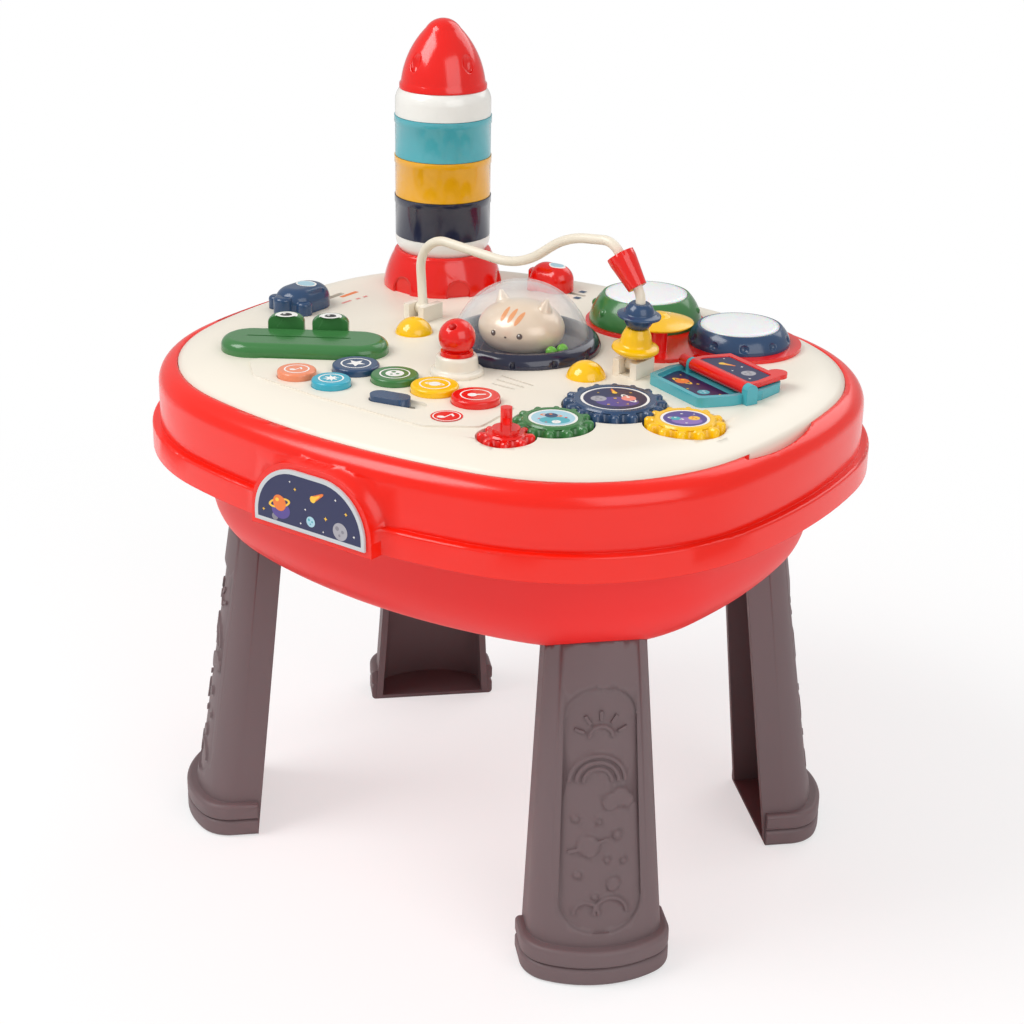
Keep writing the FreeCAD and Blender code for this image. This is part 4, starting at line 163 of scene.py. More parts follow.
@dataclass(frozen=True)
class MouldedPlastic:
    """Injection-moulded ABS or PP: an even colour with the mould's fine grain and soft edges."""

    name: str
    hue: Hue
    roughness: float = 0.28
    grain_mm: float = 0.9
    grain_depth_mm: float = 0.01
    cloud_mm: float = 45.0
    cloud: float = 0.05
    edge_mm: float = 0.45
    coat: float = 0.0
    glow: float = 0.0
    metallic: float = 0.0

    def material(self) -> bpy.types.Material:
        """Build the finish: slow clouding of tone and gloss, mould grain, softened edges."""
        found = bpy.data.materials.get(self.name)
        if found:
            return found
        material, tree = blank_material(self.name)
        where = add_node(tree, "ShaderNodeTexCoord").outputs["Object"]
        cloud = add_node(tree, "ShaderNodeTexNoise", {"Scale": 1 / (self.cloud_mm * MM), "Detail": 3.0},
                         {"Vector": where})
        grain = add_node(tree, "ShaderNodeTexNoise", {"Scale": 1 / (self.grain_mm * MM), "Detail": 2.0},
                         {"Vector": where})
        base = linear(self.hue)
        deep = tuple(channel * (1 - self.cloud) for channel in base[:3]) + (1.0,)
        tone = add_node(tree, "ShaderNodeMix", {6: deep, 7: base}, {0: cloud.outputs["Fac"]},
                        data_type="RGBA")
        gloss = add_node(tree, "ShaderNodeMapRange",
                         {"To Min": max(self.roughness - 0.05, 0.03), "To Max": self.roughness + 0.05},
                         {"Value": cloud.outputs["Fac"]})
        edge = add_node(tree, "ShaderNodeBevel", {"Radius": self.edge_mm * MM}, samples=4)
        bump = add_node(tree, "ShaderNodeBump",
                        {"Strength": 0.5, "Distance": self.grain_depth_mm * MM},
                        {"Height": grain.outputs["Fac"], "Normal": edge.outputs["Normal"]})
        shader = add_node(tree, "ShaderNodeBsdfPrincipled", {
            "IOR": 1.5, "Metallic": self.metallic, "Coat Weight": self.coat,
            "Subsurface Weight": self.glow, "Subsurface Scale": 0.004,
        }, {"Base Color": tone.outputs[2], "Roughness": gloss.outputs["Result"],
            "Normal": bump.outputs["Normal"]})
        if self.coat:
            shader.inputs["Coat Roughness"].default_value = 0.08
        add_node(tree, "ShaderNodeOutputMaterial", links={"Surface": shader.outputs["BSDF"]})
        return material


@dataclass(frozen=True)
class ClearPlastic:
    """Clear polystyrene moulding: thin, with faint flow waves; its near-white wall turns opaque towards the rim
    as a painted reflection.
    """

    name: str
    hue: Hue
    roughness: float = 0.02
    wave_mm: float = 30.0
    clearest: float = 0.03
    # Opacity of the near-white wall at the rim: a painted reflection, lighter where the real dome reflects the
    # studio.
    edge: float = 0.55

    def material(self) -> bpy.types.Material:
        """Build the finish: thin see-through wall whose gloss comes from Fresnel, and whose near-white body is
        made opaque towards the rim as a painted reflection.
        """
        found = bpy.data.materials.get(self.name)
        if found:
            return found
        material, tree = blank_material(self.name)
        where = add_node(tree, "ShaderNodeTexCoord").outputs["Object"]
        wave = add_node(tree, "ShaderNodeTexNoise", {"Scale": 1 / (self.wave_mm * MM)}, {"Vector": where})
        bump = add_node(tree, "ShaderNodeBump", {"Strength": 0.15, "Distance": 0.0001},
                        {"Height": wave.outputs["Fac"]})
        # Opacity rises towards the rim so the white wall shows there: painted reflection; the BSDF's own gloss on
        # top is real.
        edge = add_node(tree, "ShaderNodeLayerWeight", {"Blend": 0.35})
        body = add_node(tree, "ShaderNodeMapRange",
                        {"From Min": 0.15, "From Max": 1.0, "To Min": self.clearest, "To Max": self.edge},
                        {"Value": edge.outputs["Facing"]})
        shader = add_node(tree, "ShaderNodeBsdfPrincipled", {
            "Base Color": linear(self.hue), "Roughness": self.roughness, "IOR": 1.5,
        }, {"Normal": bump.outputs["Normal"], "Alpha": body.outputs["Result"]})
        add_node(tree, "ShaderNodeOutputMaterial", links={"Surface": shader.outputs["BSDF"]})
        return material


@dataclass(frozen=True)
class PlatedSteel:
    """Zinc-plated or drawn steel: fine drawing lines along the piece."""

    name: str
    hue: Hue
    roughness: float = 0.32
    line_mm: float = 0.35

    def material(self) -> bpy.types.Material:
        """Build the finish: bare metal whose roughness varies in fine lines."""
        found = bpy.data.materials.get(self.name)
        if found:
            return found
        material, tree = blank_material(self.name)
        where = add_node(tree, "ShaderNodeTexCoord").outputs["Object"]
        lines = add_node(tree, "ShaderNodeTexNoise", {"Scale": 1 / (self.line_mm * MM), "Detail": 4.0},
                         {"Vector": where})
        gloss = add_node(tree, "ShaderNodeMapRange",
                         {"To Min": self.roughness - 0.08, "To Max": self.roughness + 0.1},
                         {"Value": lines.outputs["Fac"]})
        shader = add_node(tree, "ShaderNodeBsdfPrincipled",
                          {"Base Color": linear(self.hue), "Metallic": 1.0},
                          {"Roughness": gloss.outputs["Result"]})
        add_node(tree, "ShaderNodeOutputMaterial", links={"Surface": shader.outputs["BSDF"]})
        return material


@dataclass(frozen=True)
class PrintInk:
    """Screen-printed ink on laminated film: flat colour under a glossy laminate."""

    hue: Hue
    dot_mm: float = 0.7

    def material(self) -> bpy.types.Material:
        """Build the finish: a faint dot screen in the ink, gloss from the laminate."""
        name = "screen_printed_film_" + self.hue.name.lower()
        found = bpy.data.materials.get(name)
        if found:
            return found
        material, tree = blank_material(name)
        where = add_node(tree, "ShaderNodeTexCoord").outputs["Object"]
        dots = add_node(tree, "ShaderNodeTexNoise", {"Scale": 1 / (self.dot_mm * MM)}, {"Vector": where})
        base = linear(self.hue)
        deep = tuple(channel * 0.94 for channel in base[:3]) + (1.0,)
        tone = add_node(tree, "ShaderNodeMix", {6: deep, 7: base}, {0: dots.outputs["Fac"]},
                        data_type="RGBA")
        shader = add_node(tree, "ShaderNodeBsdfPrincipled", {"Roughness": 0.3, "IOR": 1.5},
                          {"Base Color": tone.outputs[2]})
        add_node(tree, "ShaderNodeOutputMaterial", links={"Surface": shader.outputs["BSDF"]})
        return material


# Polypropylene of the rim and basin: glossy, with a slow sheen from the large mould.
RIM_PLASTIC = MouldedPlastic("glossy_moulded_polypropylene_rim", Hue.RIM, 0.22, 1.2, 0.006, 80, 0.06, 0.6)
BASIN_PLASTIC = MouldedPlastic("satin_moulded_polypropylene_basin", Hue.BASIN, 0.42, 1.0, 0.015, 70, 0.05,
                               0.6)
# Legs: spark-eroded mould texture, matt.
LEG_PLASTIC = MouldedPlastic("matt_textured_polypropylene_legs", Hue.LEG, 0.52, 0.8, 0.05, 40, 0.08, 0.7)
# Board: satin ABS, faintly warm where thick.
DECK_PLASTIC = MouldedPlastic("satin_moulded_abs_board", Hue.CREAM, 0.36, 0.8, 0.012, 60, 0.03, 0.5)
BASE_PLASTIC = MouldedPlastic("matt_moulded_abs_underside", Hue.BASE, 0.5, 0.8, 0.03)
RED_PLASTIC = MouldedPlastic("glossy_moulded_abs_red", Hue.RED, 0.16, coat=0.3)
GREEN_PLASTIC = MouldedPlastic("glossy_moulded_abs_green", Hue.GREEN, 0.2, coat=0.2)
DENIM_PLASTIC = MouldedPlastic("glossy_moulded_abs_denim_blue", Hue.DENIM, 0.2, coat=0.2)
NAVY_PLASTIC = MouldedPlastic("glossy_moulded_abs_navy", Hue.NAVY, 0.16, coat=0.3)
YELLOW_PLASTIC = MouldedPlastic("glossy_moulded_abs_yellow", Hue.YELLOW, 0.18, coat=0.2)
MUSTARD_PLASTIC = MouldedPlastic("glossy_moulded_abs_mustard", Hue.MUSTARD, 0.16, coat=0.3)
TEAL_PLASTIC = MouldedPlastic("glossy_moulded_abs_teal", Hue.TEAL, 0.18, coat=0.3)
WHITE_PLASTIC = MouldedPlastic("glossy_moulded_abs_white", Hue.WHITE, 0.16, coat=0.3)
PEACH_PLASTIC = MouldedPlastic("glossy_moulded_abs_peach", Hue.PEACH, 0.2, coat=0.2)
CYAN_PLASTIC = MouldedPlastic("glossy_moulded_abs_cyan", Hue.CYAN, 0.2, coat=0.2)
CREAM_PLASTIC = MouldedPlastic("glossy_moulded_abs_cream", Hue.CREAM, 0.2, coat=0.2)
# Drum skins let light in and glow softly; lamp caps have a hard gloss over the same even colour.
SKIN_PLASTIC = MouldedPlastic("translucent_moulded_pp_drum_skin", Hue.SKIN, 0.3, glow=0.5)
LAMP_PLASTIC = MouldedPlastic("translucent_moulded_ps_lamp_cap", Hue.YELLOW, 0.14, coat=0.4)
# Pearl pigment in the cat's head gives a soft metallic sheen.
PEARL_PLASTIC = MouldedPlastic("pearl_pigment_moulded_abs", Hue.PEARL, 0.3, 0.5, 0.01, 12, 0.1, 0.5, 0.5,
                               metallic=0.12)
WIRE_PLASTIC = MouldedPlastic("dipped_vinyl_coat_on_wire", Hue.WIRE, 0.28, 1.5, 0.01)
LIME_PLASTIC = MouldedPlastic("glossy_moulded_abs_lime", Hue.LIME, 0.15)
RUBBER = MouldedPlastic("moulded_silicone_key_mat", Hue.RUBBER, 0.7)
LAMINATE = MouldedPlastic("glass_epoxy_laminate_board", Hue.LAMINATE, 0.4)
BLACK_CONE = MouldedPlastic("pressed_paper_speaker_cone", Hue.BLACK, 0.8)
SHRINK_FILM = MouldedPlastic("shrink_film_battery_wrap", Hue.SHRINK, 0.3)
STEEL = PlatedSteel("zinc_plated_steel_screw", Hue.STEEL)
DRAWN_STEEL = PlatedSteel("drawn_steel_rod", Hue.STEEL, 0.25)
CLEAR = ClearPlastic("clear_moulded_polystyrene_dome", Hue.GLASS)


def circle(x: float, y: float, radius: float, squash: float = 1.0, turn: float = 0.0,
           count: int = 48) -> list[tuple[float, float]]:
    """Give a round or oval outline.

    Args:
        x: centre across, in mm.
        y: centre up, in mm.
        radius: half the longer width, in mm.
        squash: share of the other width.
        turn: lean of the longer width, in degrees.
        count: corners.

    Returns:
        Outline points in mm.
    """
    lean = math.radians(turn)
    points = []
    for step in range(count):
        angle = 2 * math.pi * step / count
        u = radius * math.cos(angle)
        v = radius * squash * math.sin(angle)
        points.append((x + u * math.cos(lean) - v * math.sin(lean),
                       y + u * math.sin(lean) + v * math.cos(lean)))
    return points


class Picture:
    """Printed picture: star-shaped patches of ink laid over each other, flat or wrapped on a piece."""

    def __init__(self, name: str, origin: Vector, across: Vector, up: Vector,
                 onto: Optional[BVHTree] = None) -> None:
        """Start an empty picture.

        Args:
            name: the piece's name.
            origin: middle of the picture in metres.
            across: direction of the picture's width.
            up: direction of its height.
            onto: surface that the ink is laid on along the picture's normal.
        """
        self.name = name
        self.origin = origin
        self.across = across.normalized()
        self.up = up.normalized()
        self.normal = self.across.cross(self.up).normalized()
        self.onto = onto
        self.level = 1
        self.mesh = bmesh.new()
        self.inks: list[Hue] = []

    def spot(self, u: float, v: float) -> Vector:
        """Give the place of a picture point, in metres."""
        flat = self.origin + self.across * u * MM + self.up * v * MM
        if self.onto is None:
            return flat + self.normal * FLAT_FILM * self.level
        lift = FILM * self.level
        place, normal, _, _ = self.onto.ray_cast(flat + self.normal * 0.08, -self.normal)
        if place is None:
            return flat + self.normal * lift
        if normal.dot(self.normal) < 0:
            normal = -normal
        return place + normal * lift

    def slot_of(self, hue: Hue) -> int:
        """Give the ink's material index, adding it when it is new."""
        if hue not in self.inks:
            self.inks.append(hue)
        return self.inks.index(hue)

    def patch(self, outline: list[tuple[float, float]], hue: Hue) -> None:
        """Lay a filled patch.

        Args:
            outline: points round the patch, seen whole from its middle.
            hue: its ink.
        """
        rings = 6 if self.onto else 1
        middle_u = sum(point[0] for point in outline) / len(outline)
        middle_v = sum(point[1] for point in outline) / len(outline)
        centre = self.mesh.verts.new(self.spot(middle_u, middle_v))
        inner: list[bmesh.types.BMVert] = []
        for ring in range(1, rings + 1):
            share = ring / rings
            here = [self.mesh.verts.new(self.spot(middle_u + (u - middle_u) * share,
                                                  middle_v + (v - middle_v) * share)) for u, v in outline]
            for step, vert in enumerate(here):
                after = here[(step + 1) % len(here)]
                if inner:
                    face = self.mesh.faces.new((inner[step], vert, after, inner[(step + 1) % len(here)]))
                else:
                    face = self.mesh.faces.new((centre, vert, after))
                face.material_index = self.slot_of(hue)
            inner = here
        self.level += 1

    def band(self, outer: list[tuple[float, float]], inner: list[tuple[float, float]], hue: Hue) -> None:
        """Lay a closed band between two outlines with the same number of points."""
        one = [self.mesh.verts.new(self.spot(u, v)) for u, v in outer]
        two = [self.mesh.verts.new(self.spot(u, v)) for u, v in inner]
        for step in range(len(one)):
            after = (step + 1) % len(one)
            face = self.mesh.faces.new((one[step], one[after], two[after], two[step]))
            face.material_index = self.slot_of(hue)
        self.level += 1

    def disc(self, x: float, y: float, radius: float, hue: Hue, squash: float = 1.0,
             turn: float = 0.0) -> None:
        """Lay a round or oval patch."""
        self.patch(circle(x, y, radius, squash, turn), hue)

    def star(self, x: float, y: float, radius: float, hue: Hue, points: int = 5, waist: float = 0.45) -> None:
        """Lay a pointed star."""
        outline = []
        for step in range(points * 2):
            reach = radius if step % 2 == 0 else radius * waist
            angle = math.pi / 2 + math.pi * step / points
            outline.append((x + reach * math.cos(angle), y + reach * math.sin(angle)))
        self.patch(outline, hue)

    def planet(self, x: float, y: float, radius: float, hue: Hue, ring: Hue, lean: float = 20.0) -> None:
        """Lay a ringed planet with a shaded side."""
        self.band(circle(x, y, radius * 1.75, 0.34, lean), circle(x, y, radius * 1.4, 0.26, lean), ring)
        self.disc(x, y, radius, hue)
        self.disc(x - radius * 0.35, y + radius * 0.35, radius * 0.28, ring, 0.8, lean)

    def moon(self, x: float, y: float, radius: float, hue: Hue, pit: Hue) -> None:
        """Lay a full moon with three craters."""
        self.disc(x, y, radius, hue)
        for u, v, size in ((-0.4, 0.3, 0.26), (0.35, 0.05, 0.2), (-0.1, -0.45, 0.16)):
            self.disc(x + u * radius, y + v * radius, size * radius, pit)

    def comet(self, x: float, y: float, radius: float, turn: float) -> None:
        """Lay a comet whose tail points along a direction in degrees."""
        way = Vector((math.cos(math.radians(turn)), math.sin(math.radians(turn))))
        side = Vector((-way.y, way.x))
        for reach, width, hue in ((4.2, 0.95, Hue.ORANGE), (2.8, 0.6, Hue.SUN)):
            outline = []
            for along, across in ((0, -width), (reach, -width * 0.35), (reach * 1.1, 0), (reach, width * 0.35),
                                  (0, width), (-0.4, 0)):
                spot = way * along * radius + side * across * radius
                outline.append((x + spot.x, y + spot.y))
            self.patch(outline, hue)
        self.disc(x, y, radius, Hue.SUN)

    def note(self, x: float, y: float, size: float, hue: Hue) -> None:
        """Lay a single music note."""
        self.disc(x - size * 0.25, y - size * 0.45, size * 0.34, hue, 0.75, 20)
        self.patch([(x, y - size * 0.45), (x + size * 0.12, y - size * 0.45), (x + size * 0.12, y + size * 0.7),
                    (x, y + size * 0.7)], hue)
        self.patch([(x + size * 0.12, y + size * 0.7), (x + size * 0.12, y + size * 0.4),
                    (x + size * 0.55, y + size * 0.15), (x + size * 0.5, y + size * 0.4)], hue)

    def finish(self, body: str, slot: Optional[str] = None) -> bpy.types.Object:
        """Make the picture's object and let it move with a body.

        Args:
            body: body that it rides on.
            slot: record's material slot of the piece below it; not used.

        Returns:
            The picture.
        """
        bmesh.ops.recalc_face_normals(self.mesh, faces=self.mesh.faces)
        data = bpy.data.meshes.new(self.name)
        self.mesh.to_mesh(data)
        self.mesh.free()
        for hue in self.inks:
            data.materials.append(PrintInk(hue).material())
        picture = bpy.data.objects.new(self.name, data)
        bpy.context.scene.collection.objects.link(picture)
        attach(picture, body)
        log.info("picture %s: %d inks", self.name, len(self.inks))
        return picture


def tree_of(node: str) -> BVHTree:
    """Give a node's surface for laying ink on it."""
    mesh = frame["nodes"][node].data
    return BVHTree.FromPolygons([vert.co for vert in mesh.vertices],
                                [tuple(poly.vertices) for poly in mesh.polygons])


def top_of(node: str, x: float, y: float) -> Vector:
    """Give the highest point of a node over a place in metres."""
    place, _, _, _ = tree_of(node).ray_cast(Vector((x, y, 1.0)), Vector((0, 0, -1)))
    return place if place is not None else Vector((x, y, DECK))


def joint_place(name: str) -> Vector:
    """Give a joint's point in metres."""
    for joint in frame["joints"]:
        if joint["name"] == name:
            return Vector(joint["pos_m"])
    raise KeyError(name)


def middle_of(node: str) -> Vector:
    """Give the middle of a node's box in metres."""
    low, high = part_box(node)
    return (low + high) / 2


SMOOTH_ANGLE = math.radians(28)


def smooth(node: str) -> None:
    """Shade a moulding smoothly, with its real corners kept sharp."""
    piece = frame["nodes"][node]
    weld = piece.modifiers.new("weld", "WELD")
    weld.merge_threshold = 0.000001
    bpy.context.view_layer.objects.active = piece
    piece.select_set(True)
    bpy.ops.object.shade_auto_smooth(angle=SMOOTH_ANGLE)
    piece.select_set(False)


@dataclass
class SubAssembly:
    """Part of the table whose mouldings get one finish each."""

    title: str = "part"
    finishes: dict[str, Any] = field(default_factory=dict)

    def dress(self) -> None:
        """Give each moulding its finish."""
        for node, finish in self.finishes.items():
            data = frame["nodes"][node].data
            data.materials.clear()
            data.materials.append(finish.material())
            smooth(node)
            log.info("%s: %s in %s", self.title, node, finish.name)

    def build(self) -> None:
        """Build what the mouldings lack."""


@dataclass
class TableBody(SubAssembly):
    """Rim, basin, legs and badge."""

    title: str = "table body"
    plate_half: float = 43.6
    plate_low: float = 291.9
    plate_height: float = 38.5
    plate_round: float = 33.0
    field_inset: float = 2.6
    finishes: dict[str, Any] = field(default_factory=lambda: {
        "rim": RIM_PLASTIC, "basin": BASIN_PLASTIC, "leg_front": LEG_PLASTIC, "leg_right": LEG_PLASTIC,
        "leg_back": LEG_PLASTIC, "leg_left": LEG_PLASTIC, "leg_screws": STEEL, "rim_screws": STEEL,
        "badge_plate": MouldedPlastic("laminated_print_badge", Hue.GREY, 0.3),
    })

    def outline(self, inset: float) -> list[tuple[float, float]]:
        """Give the badge's half-oval outline, drawn in from its edge."""
        half = self.plate_half - inset
        low = inset
        high = self.plate_height - inset
        bend = self.plate_round - inset
        points = [(-half, low), (-half / 2, low), (half / 2, low), (half, low)]
        for step in range(13):
            angle = math.pi / 2 * step / 12
            points.append((half - bend + bend * math.cos(angle), high - bend + bend * math.sin(angle)))
        for step in range(13):
            angle = math.pi / 2 + math.pi / 2 * step / 12
            points.append((bend - half + bend * math.cos(angle), high - bend + bend * math.sin(angle)))
        return points

    def build(self) -> None:
        """Print the badge's night sky."""
        low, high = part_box("badge_plate")
        origin = Vector(((low.x + high.x) / 2, low.y, self.plate_low * MM))
        art = Picture("badge_picture", origin, Vector((1, 0, 0)), Vector((0, 0, 1)))
        art.patch(self.outline(self.field_inset), Hue.SKY)
        art.moon(25, 8.5, 5.6, Hue.MOON, Hue.CRATER)
        art.disc(-27, 5.2, 2.4, Hue.CRATER)
        art.disc(-22, 10.5, 7.4, Hue.VIOLET, 0.75, 10)
        art.planet(-23, 15, 5.2, Hue.ORANGE, Hue.SUN, 18)
        art.comet(4, 24, 2.2, 32)
        art.moon(2, 9, 3.4, Hue.PALE_SKY, Hue.TEAL)
        for x, y, size in ((-36, 8, 1.2), (-10, 27, 1.3), (-6, 6, 0.9), (14, 14, 1.5), (30, 21, 1.4),
                           (36, 8, 1.1), (-14, 31, 0.8), (22, 28, 1.0), (12, 5, 0.8), (-2, 16, 0.9)):
            art.star(x, y, size, Hue.SUN if size > 1.1 else Hue.PAPER, 4, 0.4)
        art.finish("table", "badge")


@dataclass
class Board(SubAssembly):
    """Activity board with its underside, speaker, lamps and printed marks."""

    title: str = "board"
    finishes: dict[str, Any] = field(default_factory=lambda: {
        "activity_board": DECK_PLASTIC, "board_base": BASE_PLASTIC, "battery_door": BASE_PLASTIC,
        "batteries": SHRINK_FILM, "board_screws": STEEL, "circuit_board": LAMINATE, "keypad_mat": RUBBER,
        "speaker": BLACK_CONE, "light_domes": LAMP_PLASTIC,
    })
    marks: tuple[tuple[float, float, float, float, Hue], ...] = (
        (-165.5, 29.0, 1.8, 9.0, Hue.ORANGE), (-154.8, 13.5, 1.1, 5.0, Hue.PINK),
        (-153.6, 25.0, 1.1, 2.0, Hue.PINK), (-152.8, 32.0, 1.1, 2.0, Hue.PINK),
        (-37.5, 141.5, 2.4, 2.4, Hue.DENIM), (-32.0, 126.5, 2.4, 2.4, Hue.DENIM),
    )
    badge_spot: tuple[float, float] = (49.7, -132.0)

    def build(self) -> None:
        """Print the marks beside the sliders' slots."""
        art = Picture("board_marks", Vector((0, 0, DECK)), Vector((1, 0, 0)), Vector((0, 1, 0)),
                      tree_of("activity_board"))
        for x, y, half, deep, hue in self.marks:
            art.patch([(x - half, y - deep), (x + half, y - deep), (x + half, y + deep),
                       (x - half, y + deep)], hue)
        x, y = self.badge_spot
        art.disc(x, y, 10.0, Hue.RED)
        art.band(circle(x, y, 8.8), circle(x, y, 8.0), Hue.PAPER)
        art.note(x, y, 7.5, Hue.PAPER)
        art.finish("board", "board_cream")


@dataclass
class MusicPanel(SubAssembly):
    """Six music keys and the slide switch."""

    title: str = "music panel"
    print_share: float = 0.62
    finishes: dict[str, Any] = field(default_factory=lambda: {
        "key_navy": DENIM_PLASTIC, "key_green": GREEN_PLASTIC, "key_yellow": YELLOW_PLASTIC,
        "key_red": RED_PLASTIC, "key_peach": PEACH_PLASTIC, "key_cyan": CYAN_PLASTIC,
        "switch_knob": DENIM_PLASTIC,
    })

    def build(self) -> None:
        """Print a round pale sign on every key."""
        hues = {"key_navy": Hue.DENIM, "key_green": Hue.GREEN, "key_yellow": Hue.ORANGE,
                "key_red": Hue.RED, "key_peach": Hue.ORANGE, "key_cyan": Hue.CYAN}
        for order, (key, hue) in enumerate(hues.items()):
            low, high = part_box(key)
            centre = (low + high) / 2
            radius = (high.x - low.x) / 2 / MM * self.print_share
            art = Picture(key + "_picture", Vector((centre.x, centre.y, high.z)), Vector((1, 0, 0)),
                          Vector((0, 1, 0)))
            art.band(circle(0, 0, radius), circle(0, 0, radius - 1.0), Hue.PAPER)
            signs = (art.star, art.moon, art.planet, art.comet, art.note, art.star)
            if signs[order] == art.moon:
                art.moon(0, 0, radius * 0.6, Hue.PAPER, hue)
            elif signs[order] == art.planet:
                art.planet(0, 0, radius * 0.38, Hue.PAPER, Hue.PAPER)
            elif signs[order] == art.comet:
                art.disc(-1.5, -1.5, radius * 0.3, Hue.PAPER)
                art.patch([(-1, 0.5), (4, 5), (5, 4), (0.5, -1)], Hue.PAPER)
            elif signs[order] == art.note:
                art.note(0, 0, radius * 0.7, Hue.PAPER)
            else:
                art.star(0, 0, radius * 0.66, Hue.PAPER, 5 if order == 0 else 8)
            art.finish(key + "_body", None)


@dataclass
class GearTrain(SubAssembly):
    """Four meshing gears with printed discs."""

    title: str = "gears"
    big_disc: float = 21.6
    mid_disc: float = 15.1
    border: float = 1.7
    finishes: dict[str, Any] = field(default_factory=lambda: {
        "gear_navy": DENIM_PLASTIC, "gear_green": GREEN_PLASTIC, "gear_yellow": YELLOW_PLASTIC,
        "gear_red": RED_PLASTIC,
    })

    def disc(self, gear: str, radius: float, sky: Hue, cloud: Hue) -> Picture:
        """Start a gear's round picture: white border and sky.

        Args:
            gear: gear's node.
            radius: disc in mm.
            sky: colour of the sky.
            cloud: colour of a second patch of sky.

        Returns:
            The picture, still open.
        """
        place = joint_place(gear + "_spin")
        top = top_of(gear, place.x + radius * MM / 2, place.y)
        art = Picture(gear + "_picture", Vector((place.x, place.y, top.z)), Vector((1, 0, 0)),
                      Vector((0, 1, 0)))
        art.disc(0, 0, radius, Hue.PAPER)
        art.disc(0, 0, radius - self.border, sky)
        art.disc(radius * 0.2, -radius * 0.18, radius * 0.62, cloud, 0.66, 35)
        return art

    def build(self) -> None:
        """Print the three discs."""
        navy = self.disc("gear_navy", self.big_disc, Hue.SKY, Hue.VIOLET)
        navy.planet(6.5, 5.5, 4.6, Hue.PINK, Hue.PAPER, -24)
        navy.moon(-8, -6.5, 5.0, Hue.MOON, Hue.CRATER)
        navy.comet(-6, 8.5, 1.7, 140)
        for x, y, size in ((0, 0, 1.5), (12, -4, 1.2), (3, -12, 1.3), (-14, 2, 1.0), (2, 14.5, 1.1),
                           (13.5, 4, 0.8), (6, -6, 0.8)):
            navy.star(x, y, size, Hue.SUN, 4, 0.4)
        navy.finish("gear_navy_body", "denim")
        green = self.disc("gear_green", self.mid_disc, Hue.PALE_SKY, Hue.TEAL)
        green.planet(-3.5, 3, 4.0, Hue.DENIM, Hue.ORANGE, 25)
        green.moon(5.5, -4.5, 2.8, Hue.PAPER, Hue.GREY)
        for x, y, size in ((6, 5, 1.3), (-6, -6.5, 1.1), (1, -9, 0.9)):
            green.star(x, y, size, Hue.RED, 5)
        green.finish("gear_green_body", "green")
        yellow = self.disc("gear_yellow", self.mid_disc, Hue.VIOLET, Hue.DUSK)
        yellow.moon(4, 4, 3.6, Hue.SUN, Hue.ORANGE)
        yellow.planet(-4.5, -3.5, 3.0, Hue.TEAL, Hue.PAPER, 15)
        for x, y, size in ((-6, 5.5, 1.3), (5, -6.5, 1.2), (0.5, 9.5, 0.9)):
            yellow.star(x, y, size, Hue.PAPER, 4, 0.4)
        yellow.finish("gear_yellow_body", "yellow")


@dataclass
class DrumSet(SubAssembly):
    """Two drums and a cymbal on one tray."""

    title: str = "drums"
    finishes: dict[str, Any] = field(default_factory=lambda: {
        "drum_tray": RED_PLASTIC, "green_drum_shell": GREEN_PLASTIC, "navy_drum_shell": DENIM_PLASTIC,
        "green_drum_skin": SKIN_PLASTIC, "navy_drum_skin": SKIN_PLASTIC, "cymbal": YELLOW_PLASTIC,
    })


@dataclass
class CatDome(SubAssembly):
    """Clear dome with the cat's head and two beads inside."""

    title: str = "cat dome"
    face_turn: float = 13.0
    face_tilt: float = 10.0
    eye_step: float = 9.5
    eye_rise: float = -5.2
    finishes: dict[str, Any] = field(default_factory=lambda: {
        "dome_ring": NAVY_PLASTIC, "clear_dome": CLEAR, "cat_head": PEARL_PLASTIC,
        "rattle_beads": LIME_PLASTIC,
    })

    def build(self) -> None:
        """Print the cat's stripes, eyes and nose on its head."""
        turn = math.radians(self.face_turn)
        tilt = math.radians(self.face_tilt)
        across = Vector((math.cos(turn), math.sin(turn), 0))
        ahead = Vector((math.sin(turn), -math.cos(turn), 0))
        up = Vector((0, 0, 1)) * math.cos(tilt) - ahead * math.sin(tilt)
        low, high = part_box("cat_head")
        centre = Vector(((low.x + high.x) / 2, (low.y + high.y) / 2, low.z + 0.014))
        art = Picture("cat_face", centre, across, up, tree_of("cat_head"))
        for x, y, lean in ((-4.5, 7.4, 80), (1.2, 7.0, 74), (6.7, 5.6, 68)):
            art.disc(x, y, 4.6, Hue.STRIPE, 0.36, lean)
        for x in (-self.eye_step, self.eye_step):
            art.disc(x, self.eye_rise, 1.9, Hue.BROWN)
            art.disc(x - 0.5, self.eye_rise + 0.7, 0.6, Hue.PAPER)
        art.disc(0, self.eye_rise - 1.6, 0.9, Hue.BROWN, 0.7)
        art.finish("dome", "pearl")


@dataclass
class KnobAndWire(SubAssembly):
    """Ball knob in its cup, and the bead wire with its beads."""

    title: str = "knob and wire"
    finishes: dict[str, Any] = field(default_factory=lambda: {
        "knob_cup": CREAM_PLASTIC, "ball_knob": RED_PLASTIC, "arch_clevises": CREAM_PLASTIC,
        "bead_arch": WIRE_PLASTIC, "bead_red": RED_PLASTIC, "bead_planet": DENIM_PLASTIC,
        "bead_saucer": YELLOW_PLASTIC,
    })


